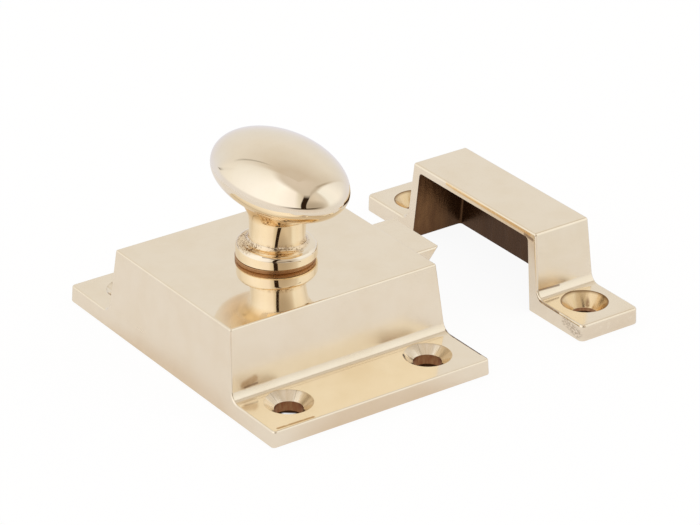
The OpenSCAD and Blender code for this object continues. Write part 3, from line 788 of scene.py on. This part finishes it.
class LATCH_OT_stage(bpy.types.Operator):
    """Makes the white floor, the studio round it and the camera"""
    bl_idname = "latch.stage"
    bl_label = "Stage"

    def execute(self, context):
        self.floor(sizes(), colours())
        self.studio()
        self.camera()
        return {"FINISHED"}

    def floor(self, s, c):
        """A white sheet. The camera sees it as open white with the object's shadow on it. The brass sees it
        a little darker, as far as the sheet reaches, and then the studio beyond it."""
        settle()
        bpy.ops.mesh.primitive_circle_add(vertices=96, radius=0.16, fill_type="NGON",
                                          location=(0.012, 0, -0.0001))
        sheet = bpy.context.object
        sheet.name = sheet.data.name = "floor"
        bpy.ops.object.transform_apply(location=True, rotation=True, scale=True)
        made = bpy.data.materials.new("White paper, matt")
        made.use_nodes = True
        tree = made.node_tree
        tree.nodes.clear()
        place = add(tree, "TexCoord").outputs["Object"]
        fibre = patches(tree, place, 0.4, 0.3, 0.7, 0.05)
        lit = add(tree, "BsdfDiffuse", {"Color": over(tree, linear("#F7F7F7"), linear("#E8E8E8"), fibre)})
        glow = add(tree, "Emission", {"Color": linear("#FFFFFF"), "Strength": 1.03})
        # Painted shadow: where the castings cover the sheet, it is coloured dark
        shade = add(tree, "BsdfDiffuse", {"Color": c.soot_and_shade})
        open_white = add(tree, "MixShader", (0.9, lit, glow))
        open_white = add(tree, "MixShader", (self.footprint(tree, place, s), open_white, shade))
        # What the brass mirrors is browner close to the castings, a painted shadow of theirs tinted by their
        # brass, and the sheet ends softly
        away = add(tree, "VectorMath", (place, (1.55, 1.0, 1.0)), operation="MULTIPLY")
        away = add(tree, "VectorMath", (away,), operation="LENGTH").outputs["Value"]
        away = add(tree, "MapRange", (away, 0.031, 0.041), **SOFT)
        tone = over(tree, c.floor_near_shaded, c.floor, away)
        shine = add(tree, "Emission", {"Color": tone, "Strength": 1.0})
        mirrored = add(tree, "MixShader", (0.7, lit, shine))
        reach = add(tree, "VectorMath", (place,), operation="LENGTH").outputs["Value"]
        edge = add(tree, "MapRange", (reach, 0.055, 0.085), **SOFT)
        past = add(tree, "BsdfTransparent")
        mirrored = add(tree, "MixShader", (edge, mirrored, past))
        seen = add(tree, "LightPath").outputs["Is Camera Ray"]
        both = add(tree, "MixShader", (seen, mirrored, open_white))
        below = add(tree, "NewGeometry").outputs["Backfacing"]
        add(tree, "OutputMaterial", {"Surface": add(tree, "MixShader", (below, both, past))})
        made_of(sheet, made)

    def footprint(self, tree, place, s):
        """Where the castings keep the light from the sheet, as it is seen through their screw holes"""
        parts = add(tree, "SeparateXYZ", (place,))
        across = add(tree, "Math", (parts.outputs["Y"],), operation="ABSOLUTE")
        along = add(tree, "Math", (parts.outputs["X"],), operation="ABSOLUTE")
        half = s.case_len / 2
        case = add(tree, "MapRange", (along, (half - 1.2) * MM, (half - 0.2) * MM, 1.0, 0.0))
        along = add(tree, "Math", (parts.outputs["X"], s.strike_x * MM), operation="SUBTRACT")
        strike = between(tree, along, -5.0 * MM, -4.5 * MM, 4.75 * MM, 5.25 * MM)
        flange = add(tree, "MapRange", (across, 17.5 * MM, 18 * MM))
        strike = add(tree, "Math", (strike, flange), operation="MULTIPLY")
        inside = add(tree, "MapRange", (across, 26.2 * MM, 27.2 * MM, 1.0, 0.0))
        covered = add(tree, "Math", (case, strike), operation="MAXIMUM")
        covered = add(tree, "Math", (covered, inside), operation="MULTIPLY")
        # Some light gets in under the front flange and shows in the hole to the left
        glint = stroke(tree, place, (-12.5, -20.8, 0), (-11.4, -21.7, 0), 0.75)
        return add(tree, "Math", (covered, glint), operation="SUBTRACT", use_clamp=True)

    def studio(self):
        """What the brass mirrors, by turn (0 in front of the case, left is minus) and rise in degrees: a tent
        with a bright left side, a right side that is tan near the front, a grey ceiling, and the dark slit
        that the camera looks through, which meets the dark front edge of the table. The camera sees plain
        white."""
        world = bpy.data.worlds.new("White studio")
        bpy.context.scene.world = world
        world.use_nodes = True
        tree = world.node_tree
        tree.nodes.clear()
        look = add(tree, "TexCoord").outputs["Generated"]
        parts = add(tree, "SeparateXYZ", (look,))
        front = add(tree, "Math", (parts.outputs["Y"], -1.0), operation="MULTIPLY")
        turn = add(tree, "Math", (parts.outputs["X"], front), operation="ARCTAN2")
        turn = add(tree, "Math", (turn,), operation="DEGREES")
        rise = add(tree, "Math", (parts.outputs["Z"],), operation="ARCSINE")
        rise = add(tree, "Math", (rise,), operation="DEGREES")
        share = add(tree, "MapRange", (turn, -180.0, 180.0))
        room = self.tent(tree, look, turn, rise, share)
        room = self.table(tree, turn, rise, share, room)
        room = self.slit(tree, turn, rise, room)
        room = self.folds(tree, turn, rise, room)
        seen = add(tree, "LightPath").outputs["Is Camera Ray"]
        studio = add(tree, "Background", {"Color": room, "Strength": 1.2})
        plain = add(tree, "Background", {"Color": linear("#FFFFFF"), "Strength": 1.0})
        add(tree, "OutputWorld", {"Surface": add(tree, "MixShader", (seen, studio, plain))})

    def tent(self, tree, look, turn, rise, share):
        """The cloth sides, the ceiling over them and the back"""
        sides = add(tree, "ValToRGB", (share,), [
            (0.0, "#D8D6D5"), (0.055, "#DAD7D4"), (0.1, "#E5E4E3"), (0.2, "#F4F4F7"), (0.26, "#F6F6F7"),
            (0.345, "#EDE9E9"), (0.37, "#D5D0C7"), (0.41, "#BEB2A4"), (0.5, "#CFC6BB"), (0.56, "#CDC7C0"),
            (0.59, "#E7E8E8"), (0.68, "#EBEAEA"), (0.76, "#DFDEDF"), (0.83, "#D6D5D6")])
        # Shade beside the slit, on the right and low
        beside = add(tree, "VectorMath", (look, (-0.2, -0.97, 0.12)), operation="DOT_PRODUCT")
        beside = add(tree, "MapRange", (beside.outputs["Value"], 0.8, 1.0, 0.0, 0.62), **SOFT)
        sides = over(tree, sides, linear("#94887A"), beside)
        # The tops of the two sides, high and soft on the left, with a dark seam on the right
        left = add(tree, "Math", (bow(tree, turn, -90.0, -0.0035, 68.5), rise), operation="SUBTRACT")
        left = add(tree, "MapRange", (left, -5.5, 6.5), **SOFT)
        off = add(tree, "Math", (turn, 32.0), operation="SUBTRACT")
        off = add(tree, "Math", (off, off), operation="MULTIPLY")
        right = add(tree, "Math", (off, -1.6e-6, -0.0025), operation="MULTIPLY_ADD")
        right = add(tree, "Math", (right, off, 63.5), operation="MULTIPLY_ADD")
        right = add(tree, "Math", (right, rise), operation="SUBTRACT")
        seam = band(tree, add(tree, "Math", (right, 3.0), operation="ADD"), 0.5, 5.0)
        right = add(tree, "MapRange", (right, -2.5, 5.0), **SOFT)
        steep = add(tree, "MapRange", (turn, 45.0, 62.0, 0.55, 1.0), **SOFT)
        seam = add(tree, "Math", (seam, steep), operation="MULTIPLY")
        ahead = between(tree, turn, -36.0, -22.0, 80.0, 100.0)
        seam = add(tree, "Math", (seam, ahead), operation="MULTIPLY")
        crown = add(tree, "MapRange", (rise, 66.0, 84.0))
        ceiling = over(tree, linear("#C5BDB4"), linear("#CBC2BA"), crown)
        ceiling = over(tree, ceiling, linear("#AA9F93"), seam)
        inside = add(tree, "Mix", (add(tree, "MapRange", (turn, -36.0, -22.0)), left, right))
        room = over(tree, ceiling, sides, inside)
        # The back falls off upwards
        back = add(tree, "ValToRGB", (add(tree, "MapRange", (rise, -30.0, 75.0)),), [
            (0.0, "#D7D9E4"), (0.35, "#D5D5D8"), (0.6, "#D7D4D1"), (0.8, "#CEC8C1"), (0.95, "#C2B8AD")])
        behind = add(tree, "MapRange", (turn, 80.0, 110.0))
        wrapped = add(tree, "MapRange", (turn, -165.0, -155.0, 1.0, 0.0))
        behind = add(tree, "Math", (behind, wrapped), operation="MAXIMUM")
        return over(tree, room, back, behind)

    def table(self, tree, turn, rise, share, room):
        """Below the horizon the white sheet runs out to the tent, up to the table's dark front edge"""
        apron = add(tree, "ValToRGB", (share,), [(0.0, "#D5D6E0"), (0.2, "#DBD8D8"), (0.4, "#D2C9C4"),
                                                 (0.585, "#D5D3D2"), (0.85, "#D5D5DE")])
        start = add(tree, "MapRange", (turn, 5.0, 30.0, -4.0, 15.0))
        low = add(tree, "MapRange", (rise, -13.0, start, 1.0, 0.0), **SOFT)
        room = over(tree, room, apron, low)
        beside = add(tree, "Math", (turn, 36.0), operation="ADD")
        edge = add(tree, "Math", (beside, 0.15, -3.8), operation="MULTIPLY_ADD")
        edge = band(tree, add(tree, "Math", (rise, edge), operation="SUBTRACT"), 1.5, 5.5)
        return over(tree, room, linear("#48392A"), edge, band(tree, beside, 12.0, 50.0))

    def slit(self, tree, turn, rise, room):
        """The dark slit in the cloth that the camera looks through"""
        off = add(tree, "Math", (turn, bow(tree, rise, 5.0, -0.0065, 38.9)), operation="ADD")
        narrow = add(tree, "Math", (rise,), operation="RADIANS")
        narrow = add(tree, "Math", (narrow,), operation="COSINE")
        off = add(tree, "Math", (off, narrow), operation="MULTIPLY")
        tall = between(tree, rise, -6.0, -3.0, 46.0, 59.0)
        return over(tree, room, linear("#2B1E14"), band(tree, off, 4.4, 6.4), tall)

    def folds(self, tree, turn, rise, room):
        """A fold of the cloth at the far left, and a crease below it"""
        off = add(tree, "Math", (rise, 31.0), operation="SUBTRACT")
        off = add(tree, "Math", (off, 0.48, 160.5), operation="MULTIPLY_ADD")
        fold = band(tree, add(tree, "Math", (turn, off), operation="ADD"), 0.6, 2.4, 0.45)
        room = over(tree, room, linear("#6C6459"), fold, between(tree, rise, 28.0, 40.0, 54.0, 64.0))
        up = add(tree, "MapRange", (rise, -6.0, 30.0))
        off = add(tree, "Math", (up, 0.5), operation="POWER")
        off = add(tree, "Math", (off, -19.0, 164.0), operation="MULTIPLY_ADD")
        crease = band(tree, add(tree, "Math", (turn, off), operation="ADD"), 0.8, 3.0)
        faint = add(tree, "ValToRGB", (up,), [(0.0, "#000000"), (0.06, "#E0E0E0"), (0.14, "#A0A0A0"),
                                              (0.3, "#505050"), (1.0, "#000000")])
        return over(tree, room, linear("#5E564A"), crease, faint)

    def camera(self):
        """The camera, with its place and lens as solved from the photograph"""
        settle()
        bpy.ops.object.camera_add(location=(-0.2554, -0.38458, 0.24626),
                                  rotation=(math.radians(63.164), 0, math.radians(-34.996)))
        camera = bpy.context.object
        camera.data.sensor_width = 36
        camera.data.lens = 175.06
        bpy.context.scene.camera = camera
        bpy.context.scene.view_settings.view_transform = "Standard"


class LATCH_OT_case(bpy.types.Operator):
    """Makes the cast case with its hollow, its lugs, the bolt's window and the screw holes"""
    bl_idname = "latch.case"
    bl_label = "Case"

    def execute(self, context):
        s, c = sizes(), colours()
        # Tarnish in the corners at the near left, and a brown painted dark reflection along the flange's edge
        # at the bolt's end
        marks = [((-18.3, -27.75, 2.7), (-12.2, -27.9, 2.7), 0.35, 0.8, c.tarnish),
                 ((-17.1, -17.05, 4.6), (-15.2, -17.05, 5.1), 0.9, 0.5, c.tarnish),
                 ((-17.0, -17.05, 4.2), (-14.8, -17.05, 4.3), 0.25, 0.5, c.residue),
                 ((19.3, -17.9, 3.1), (19.3, -20.0, 2.7), 0.36, 1.0, c.cast_dark_and_edge_reflection),
                 ((19.3, -20.0, 2.7), (19.33, -26.6, 2.7), 0.34, 1.0, c.cast_dark_and_edge_reflection)]
        brass = polished_brass(c, "Polished brass, case", marks)
        skin = kept("skin", cast_skin, c)
        # Residue in the near right countersink and on the rim of the far left one
        marks = [((9.3, -21.4, 2.6), (9.7, -19.9, 2.6), 0.35, 0.95, c.soot_and_shade),
                 ((9.6, -23.3, 2.5), (9.25, -22.2, 2.5), 0.25, 0.8, c.soot_and_shade),
                 ((-15.9, 22.6, 2.4), (-15.1, 20.6, 2.2), 0.7, 0.8, c.residue)]
        hole_x = s.hole_pitch / 2
        # The countersinks' dark radial lines are partly painted reflection bands
        sink = cut_brass(c, s, "Brass, countersunk, case", hole_x, c.brass, 0.08, streaks=0.35,
                         rim=0.1, lines=0.5, marks=marks)
        bored = cut_brass(c, s, "Brass, drilled, case", hole_x, c.bored, 0.28, streaks=0.25)
        piece = made_of(hat_casting("latch_case", s, s.case_len, s.case_h, s.flange_t, s.end_draft), brass)
        combine(piece, self.hollow(s, skin))
        drill(piece, s.bore_r, s.roof_z - 1, s.case_h + 1, bored)
        start = s.case_len / 2 - s.end_draft - s.wall_t - 1
        side = s.bolt_w / 2 + SLIDE_FIT
        window = block("Cutter", (start, -side, s.bolt_z - SLIDE_FIT),
                       (s.case_len / 2 + 1, side, s.bolt_z + s.bolt_t + SLIDE_FIT))
        edit(window)
        pick(window, "EDGE", lambda e: abs(run(e).x) > 0.9)
        bevel(0.2, 3)
        combine(piece, made_of(window, skin))
        snug = s.spring_d / 2 + SLIDE_FIT
        pocket = turned("Cutter", round_rings([(snug, 0), (snug, s.pocket_deep + 1)]), 48)
        lay(pocket, "Y", 90)
        shift(pocket, (-s.seat_x - min(v.co.x for v in pocket.data.vertices), 0, s.spring_z))
        combine(piece, made_of(pocket, bored))
        thread = s.screw_d / 2 + PRESS_FIT
        screw_end = s.strap_top - s.strap_t + s.screw_len
        for side in (-1, 1):
            at = (s.pin_x, side * s.lug_screw_y)
            drill(piece, thread, s.strap_top - 1, screw_end + 0.6, bored, 32, at)
            for end in (-1, 1):
                at = (end * hole_x, side * s.hole_y)
                combine(piece, screw_cutter(s, s.flange_t, s.sink_deep, at, sink, bored))
        finish_piece(piece, "case", "case")
        return {"FINISHED"}

    def hollow(self, s, skin):
        """The hollow as a block to cut away, less the two lugs that stay in it"""
        slope_x, slope_y = s.end_draft / s.case_h, s.wall_draft / (s.case_h - s.flange_t)
        foot_x, foot_y = s.case_len / 2 - s.wall_t, s.foot_y + slope_y * s.flange_t - s.wall_t
        piece = block("Hollow", (-foot_x, -foot_y, 0), (foot_x, foot_y, s.roof_z))
        edit(piece)
        pick(piece, "VERT", lambda v: near(v.co.z, s.roof_z))
        resize(1 - slope_x * s.roof_z / foot_x, 1 - slope_y * s.roof_z / foot_y, 1)
        pick(piece, "EDGE", lambda e: mid(e).z > 0.1)
        bevel(s.hollow_r, 5)
        pick(piece, "FACE", lambda f: f.normal.z < -0.9)
        extrude((0, 0, -1))
        settle()
        for side in (-1, 1):
            low, high = sorted((side * s.lug_y, side * s.flange_y))
            lug = soft_block("Lug", (s.pin_x - s.lug_len / 2, low, s.strap_top),
                             (s.pin_x + s.lug_len / 2, high, s.case_h + 5), 0.3)
            combine(piece, lug)
        return made_of(piece, skin)


class LATCH_OT_strike(bpy.types.Operator):
    """Makes the open strike with its mouth and its two screw holes"""
    bl_idname = "latch.strike"
    bl_label = "Strike"

    def execute(self, context):
        s, c = sizes(), colours()
        # Golden and brown lines along the mouth's edge are a painted reflection of its rounded edge; brown
        # lines also run along the foot and the flange
        marks = [((37.4, 7.0, 13.0), (37.4, -14.6, 12.75), 0.4, 0.75, c.gold_film_and_reflection),
                 ((37.4, -13.4, 12.35), (37.4, -15.4, 12.2), 0.4, 0.7, c.residue),
                 ((37.7, -17.1, 4.1), (41.5, -17.15, 3.9), 0.25, 0.65, c.residue),
                 ((37.25, -17.9, 2.75), (37.25, -22.6, 2.6), 0.22, 0.75, c.residue),
                 ((38.5, -28.6, 1.4), (47.0, -28.6, 1.4), 2.0, 0.12, c.tarnish)]
        scuffs = [((37.2, -24.4, 1.9), (37.2, -27.4, 1.2), 1.2)]
        brass = polished_brass(c, "Polished brass, strike", marks, scuffs)
        skin = kept("skin", cast_skin, c)
        marks = [((46.0, -19.0, 2.6), (44.6, -20.6, 0.9), 0.5, 0.75, c.residue)]
        sink = cut_brass(c, s, "Brass, countersunk, strike", s.strike_x, c.sink, 0.1, False, rim=0.8,
                         marks=marks)
        bored = cut_brass(c, s, "Brass, drilled, strike", s.strike_x, c.bored, 0.28, False, 0.25)
        piece = hat_casting("latch_strike", s, s.strike_len, s.strike_h, s.strike_flange_t,
                            s.strike_draft, worn=1.5)
        made_of(piece, brass)
        shift(piece, (s.strike_x, 0, 0))
        roof = s.strike_h - s.strike_roof
        top_y = s.box_w / 2 - s.strike_wall
        foot_y = top_y + s.wall_draft
        front = s.strike_x - s.strike_len / 2 - 1
        rear = s.strike_x + s.strike_len / 2 - s.strike_rear
        mouth = block("Mouth", (front, -foot_y, 0), (rear, foot_y, roof))
        edit(mouth)
        pick(mouth, "VERT", lambda v: near(v.co.z, roof))
        resize(1, top_y / foot_y, 1)
        pick(mouth, "EDGE", lambda e: near(mid(e).z, roof) and abs(run(e).x) > 0.9)
        bevel(s.mouth_r, 6)
        pick(mouth, "EDGE", lambda e: corner(e) and near(mid(e).x, rear) and mid(e).z > 0.1)
        bevel(0.5, 3)
        pick(mouth, "FACE", lambda f: f.normal.z < -0.9)
        extrude((0, 0, -1))
        settle()
        combine(piece, made_of(mouth, skin))
        for side in (-1, 1):
            at = (s.strike_x, side * s.hole_y)
            combine(piece, screw_cutter(s, s.strike_flange_t, s.strike_sink_deep, at, sink, bored))
        finish_piece(piece, "strike", "case")
        return {"FINISHED"}


class LATCH_OT_knob(bpy.types.Operator):
    """Makes the oval knob on its hollow neck and collar, and the washer under it"""
    bl_idname = "latch.knob"
    bl_label = "Knob and washer"

    def execute(self, context):
        s, c = sizes(), colours()
        knob = made_of(turned("latch_knob", self.rings(s), 160), knob_brass(c, s))
        self.settle_askew(knob, s)
        bored = cut_brass(c, s, "Brass, bored", 0.0, c.bored, 0.2)
        drill(knob, s.tang_d / 2 + PRESS_FIT, s.collar_z - 1, s.collar_z + s.tang_len, bored)
        finish_piece(knob, "knob", "knob", room=0.5)

        r, low, high = s.collar_d / 2 - 0.1, s.case_h, s.case_h + s.washer_t
        groove = 0.05
        profile = [(r - 0.08, low), (r, low + 0.08)]
        for level in (0.24, 0.42):
            profile += [(r, low + level - groove), (r - groove, low + level), (r, low + level + groove)]
        profile += [(r, high - 0.08), (r - 0.08, high)]
        # The washer's brown is tarnish and painted shade of the gap under the collar
        tarnish = tarnished_and_shaded_washer(c, s)
        washer = made_of(turned("latch_knob_washer", round_rings(profile), 96), tarnish)
        drill(washer, s.bore_r, low - 1, high + 1, tarnish)
        finish_piece(washer, "knob_washer", "case")
        return {"FINISHED"}

    def settle_askew(self, knob, s):
        """Sets the knob a little askew, as the photographed one is: the lean grows up the collar"""
        aside, lean, steps = Vector((0.82, -0.57, 0)), s.lean, 4
        shift(knob, aside * s.aside)
        for i in range(steps):
            level = s.collar_z + 0.2 + i * s.collar_t / steps
            edit(knob)
            pick(knob, "VERT", lambda v: v.co.z > level)
            for axis, part in (("X", aside.y), ("Y", -aside.x)):
                bpy.ops.transform.rotate(value=part * lean / steps, orient_axis=axis,
                                         center_override=(*aside.xy * s.aside, level))
        settle()

    def rings(self, s):
        """The knob from its collar to its crown: round up to the neck's top, then drawn out into the oval"""
        top = s.head_z - s.head_under - s.neck_short
        waist = (s.collar_top + s.head_z - s.head_under) / 2 - s.waist_drop
        hollow = s.neck_d / 2 + s.neck_curve
        root_z = s.collar_top + s.root_r
        root_x = hollow - math.sqrt((s.neck_curve - s.root_r) ** 2 - (root_z - waist) ** 2)
        low = math.degrees(math.atan2(root_z - waist, root_x - hollow))
        neck_r = hollow - math.sqrt(s.neck_curve ** 2 - (top - waist) ** 2)
        high = math.degrees(math.atan2(top - waist, neck_r - hollow))
        edge_x, edge_z = s.collar_d / 2 - s.collar_r, s.collar_top - s.collar_r
        profile = [(s.collar_d / 2 - 0.15, s.collar_z), (s.collar_d / 2, s.collar_z + 0.15)]
        profile += arc(edge_x, edge_z, s.collar_r, 0, 90, 10)
        profile += arc(root_x, root_z, s.root_r, -90, low, 10)
        profile += arc(hollow, waist, s.neck_curve, low + 360, high, 24)[1:]
        # The blend leaves along the neck's curve and meets the ellipsoid below its widest line
        meet = math.radians(-48)
        pull_low, pull_high = 0.35, 0.1
        start = Vector((neck_r, neck_r, top))
        slope = (top - waist) / (hollow - neck_r)
        leave = start + pull_low * Vector((slope, slope, 1))
        wide, long = s.head_w / 2, s.head_l / 2
        end = Vector((wide * math.cos(meet), long * math.cos(meet), s.head_z + s.head_under * math.sin(meet)))
        upward = Vector((-wide * math.sin(meet), -long * math.sin(meet), s.head_under * math.cos(meet)))
        arrive = end - pull_high * upward
        rings = round_rings(profile)
        steps = 14
        for i in range(1, steps):
            u = i / steps
            v = 1 - u
            spot = start * v ** 3 + leave * 3 * v * v * u + arrive * 3 * v * u * u + end * u ** 3
            rings.append(tuple(spot))
        steps = 56
        for i in range(steps):
            t = meet + (math.pi / 2 - meet) * i / steps
            tall = s.head_under if t < 0 else s.head_top
            rings.append((wide * math.cos(t), long * math.cos(t), s.head_z + tall * math.sin(t)))
        rings.append((0, 0, s.head_z + s.head_top))
        return rings


class LATCH_OT_works(bpy.types.Operator):
    """Makes the spindle, the crank with its pin and the washer under it"""
    bl_idname = "latch.works"
    bl_label = "Spindle and crank"

    def execute(self, context):
        s, c = sizes(), colours()
        steel = kept("steel", plated_steel, c)
        swing = 90 - math.degrees(s.swing) / 2
        rivet_z = s.crank_z - s.crank_washer_t - s.rivet_h
        tenon_r, half = s.tenon_d / 2, s.square_w / 2
        at = (s.pin_x, s.pin_y)

        spindle = disc("latch_spindle", s.spindle_d / 2, s.crank_top + TOUCH, s.collar_z - TOUCH, 0.1)
        combine(spindle, disc("Tang", s.tang_d / 2, s.collar_z - 1, s.collar_z + s.tang_len, 0.3), "UNION")
        square = soft_block("Square", (-half, -half, s.crank_z), (half, half, s.crank_top + 1), 0.08)
        combine(spindle, lay(square, "Z", swing), "UNION")
        rim_z = rivet_z + s.rivet_h
        rivet = [(tenon_r, rivet_z), (tenon_r + 0.3, rivet_z + 0.08), (tenon_r + 0.8, rim_z - 0.1),
                 (tenon_r + 0.75, rim_z - TOUCH), (tenon_r, rim_z - TOUCH), (tenon_r, s.crank_z + 1)]
        combine(spindle, turned("Rivet", round_rings(rivet), 48), "UNION")
        finish_piece(made_of(spindle, steel), "spindle", "knob")

        crank = disc("latch_crank", s.hub_d / 2, s.crank_z, s.crank_top, 0.15)
        side = s.arm_w / 2
        arm = soft_block("Arm", (0, -side, s.crank_z), (s.crank_r, side, s.crank_top), 0.15)
        combine(crank, lay(arm, "Z", swing), "UNION")
        combine(crank, disc("Eye", s.eye_d / 2, s.crank_z, s.crank_top, 0.15, 48, at), "UNION")
        snug = half + PRESS_FIT
        hole = block("Cutter", (-snug, -snug, s.crank_z - 1), (snug, snug, s.crank_top + 1))
        combine(crank, lay(hole, "Z", swing))
        neck = s.pin_neck_d / 2
        drill(crank, neck + PRESS_FIT, s.crank_z - 1, s.crank_top + 1, sides=48, at=at)
        finish_piece(made_of(crank, steel), "crank", "knob")

        pin = disc("latch_crank_pin", s.pin_d / 2, s.bolt_z + 0.1, s.crank_z - TOUCH, 0.2, 48, at)
        combine(pin, disc("Neck", neck, s.crank_z - 1, s.crank_top, 0.1, 48, at), "UNION")
        finish_piece(made_of(pin, steel), "crank_pin", "knob")

        low = s.crank_z - s.crank_washer_t
        high = low + s.crank_washer_t - TOUCH
        washer = disc("latch_crank_washer", s.crank_washer_d / 2, low, high, 0.1)
        drill(washer, tenon_r + TURN_FIT, low - 1, low + 2, sides=48)
        finish_piece(made_of(washer, steel), "crank_washer", "knob")
        return {"FINISHED"}


class LATCH_OT_bolt(bpy.types.Operator):
    """Makes the bolt: a block with a sloped nose, a flat tail with a slot, and the spring's seat and peg"""
    bl_idname = "latch.bolt"
    bl_label = "Bolt"

    def execute(self, context):
        s, c = sizes(), colours()
        top = s.bolt_z + s.bolt_t
        bolt = block("latch_bolt", (s.block_x, -s.bolt_w / 2, s.bolt_z), (s.nose_x, s.bolt_w / 2, top))
        edit(bolt)
        pick(bolt, "VERT", lambda v: v.co.x > s.nose_x - 0.1 and v.co.z < s.bolt_z + 0.1)
        bpy.ops.transform.translate(value=(-s.nose_cut, 0, 0))
        pick(bolt, "EDGE", corner)
        bevel(0.35, 4)
        settle()
        low_x, tail_top = -s.tail_x, s.bolt_z + s.tail_t
        tail = soft_block("Tail", (low_x, -s.tail_w / 2, s.bolt_z),
                          (s.block_x + 1, s.tail_w / 2, tail_top), 0.25)
        combine(bolt, tail, "UNION")
        seat = soft_block("Seat", (low_x, -s.spring_d / 2, s.bolt_z + 0.1),
                          (low_x + s.seat_t, s.spring_d / 2, s.bolt_z + s.seat_h), 0.2)
        combine(bolt, seat, "UNION")
        peg = lay(disc("Peg", s.peg_d / 2, 0, s.peg_len + 1, 0.3, 40), "Y", -90)
        shift(peg, (low_x - s.peg_len - min(v.co.x for v in peg.data.vertices), 0, s.spring_z))
        combine(bolt, peg, "UNION")
        slot_r = s.pin_d / 2 + 2 * SLIDE_FIT
        slot = soft_block("Cutter", (s.pin_x - slot_r, s.pin_y - slot_r, s.bolt_z - 1),
                          (s.pin_x + slot_r, s.crank_r + slot_r, tail_top + 1), 0.1, slot_r - 0.01)
        combine(bolt, slot)
        finish_piece(made_of(bolt, polished_brass(c)), "bolt", "bolt")
        return {"FINISHED"}


class LATCH_OT_spring(bpy.types.Operator):
    """Makes the coil spring behind the bolt, with a closed turn at each end"""
    bl_idname = "latch.spring"
    bl_label = "Spring"

    def execute(self, context):
        s, c = sizes(), colours()
        low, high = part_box("bolt_spring")
        start, end = low.x / MM, high.x / MM
        coil, wire, each = (s.spring_d - s.wire_d) / 2, s.wire_d / 2, 24
        settle()
        bpy.ops.mesh.primitive_circle_add(vertices=12, radius=wire, fill_type="NGON",
                                          rotation=(math.pi / 2, 0, 0),
                                          location=(start + wire, 0, s.spring_z + coil))
        piece = bpy.context.object
        piece.name = piece.data.name = "latch_spring"
        bpy.ops.object.transform_apply(location=True, rotation=True, scale=True)
        edit(piece)
        wide_pitch = (end - start - 3 * s.wire_d) / (s.turns - 2)
        for step in range(s.turns * each):
            open_turn = each <= step < (s.turns - 1) * each
            extrude(((wide_pitch if open_turn else s.wire_d) / each, 0, 0))
            bpy.ops.transform.rotate(value=2 * math.pi / each, orient_axis="X",
                                     center_override=(0, 0, s.spring_z))
        settle()
        finish_piece(made_of(piece, spring_wire(c)), "bolt_spring", "case")
        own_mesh(piece)
        return {"FINISHED"}


class LATCH_OT_strap(bpy.types.Operator):
    """Makes the strap that carries the bolt's tail, and its two slotted screws"""
    bl_idname = "latch.strap"
    bl_label = "Strap and screws"

    def execute(self, context):
        s, c = sizes(), colours()
        steel = kept("steel", plated_steel, c)
        low = s.strap_top - s.strap_t
        strap = soft_block("latch_strap", (s.pin_x - s.strap_w / 2, -s.strap_l / 2, low),
                           (s.pin_x + s.strap_w / 2, s.strap_l / 2, s.strap_top), 0.15, 1.0)
        for side in (-1, 1):
            at = (s.pin_x, side * s.lug_screw_y)
            drill(strap, s.screw_d / 2 + SLIDE_FIT, low - 1, s.strap_top + 1, sides=40, at=at)
        finish_piece(made_of(strap, steel), "keeper_strap", "case")
        for node, side in (("strap_screw_far", 1), ("strap_screw_near", -1)):
            self.screw(node, s, low, side * s.lug_screw_y, steel)
        return {"FINISHED"}

    def screw(self, node, s, seat, y, steel):
        """A pan-head screw, head down, with its slot cut across the bolt"""
        r, tall, shank = s.screw_head_d / 2, s.screw_head_h, s.screw_d / 2
        base = seat - tall
        profile = [(r * 0.55, base), (r * 0.8, base + 0.06), (r * 0.93, base + 0.2), (r, base + 0.5),
                   (r, seat - 0.07), (r - 0.05, seat - TOUCH), (shank, seat - TOUCH)]
        end = seat + s.screw_len - 2 * TOUCH
        profile += [(shank, end - 0.25), (shank - 0.2, end)]
        piece = turned("latch_" + node, round_rings(profile), 48, (s.pin_x, y))
        combine(piece, block("Cutter", (s.pin_x - 3, y - 0.3, base - 1), (s.pin_x + 3, y + 0.3, base + 0.5)))
        finish_piece(made_of(piece, steel), node, "case")


class LATCH_PT_panel(bpy.types.Panel):
    """Lists the pieces of the latch and the sizes they are made from"""
    bl_idname = "LATCH_PT_panel"
    bl_label = "Cupboard latch"
    bl_space_type = "VIEW_3D"
    bl_region_type = "UI"
    bl_category = "Latch"

    def draw(self, context):
        for operator in OPERATORS:
            self.layout.operator(operator.bl_idname)
        for name in GROUPS:
            group = getattr(context.scene, name)
            box = self.layout.box()
            for prop in group.__annotations__:
                box.prop(group, prop)


OPERATORS = (LATCH_OT_stage, LATCH_OT_case, LATCH_OT_strike, LATCH_OT_knob, LATCH_OT_works, LATCH_OT_bolt,
             LATCH_OT_spring, LATCH_OT_strap)
GROUPS = {"latch_castings": CastingSizes, "latch_knob": KnobSizes, "latch_works": WorksSizes,
          "latch_colours": LatchColours}


def register():
    for kind in (*GROUPS.values(), *OPERATORS, LATCH_PT_panel):
        bpy.utils.register_class(kind)
    for name, kind in GROUPS.items():
        setattr(bpy.types.Scene, name, PointerProperty(type=kind))


def unregister():
    for name in GROUPS:
        delattr(bpy.types.Scene, name)
    for kind in (LATCH_PT_panel, *reversed(OPERATORS), *reversed(tuple(GROUPS.values()))):
        bpy.utils.unregister_class(kind)


def main():
    """Makes every piece"""
    register()
    for operator in OPERATORS:
        group, action = operator.bl_idname.split(".")
        getattr(getattr(bpy.ops, group), action)()
    settle()


if __name__ == "__main__":
    main()
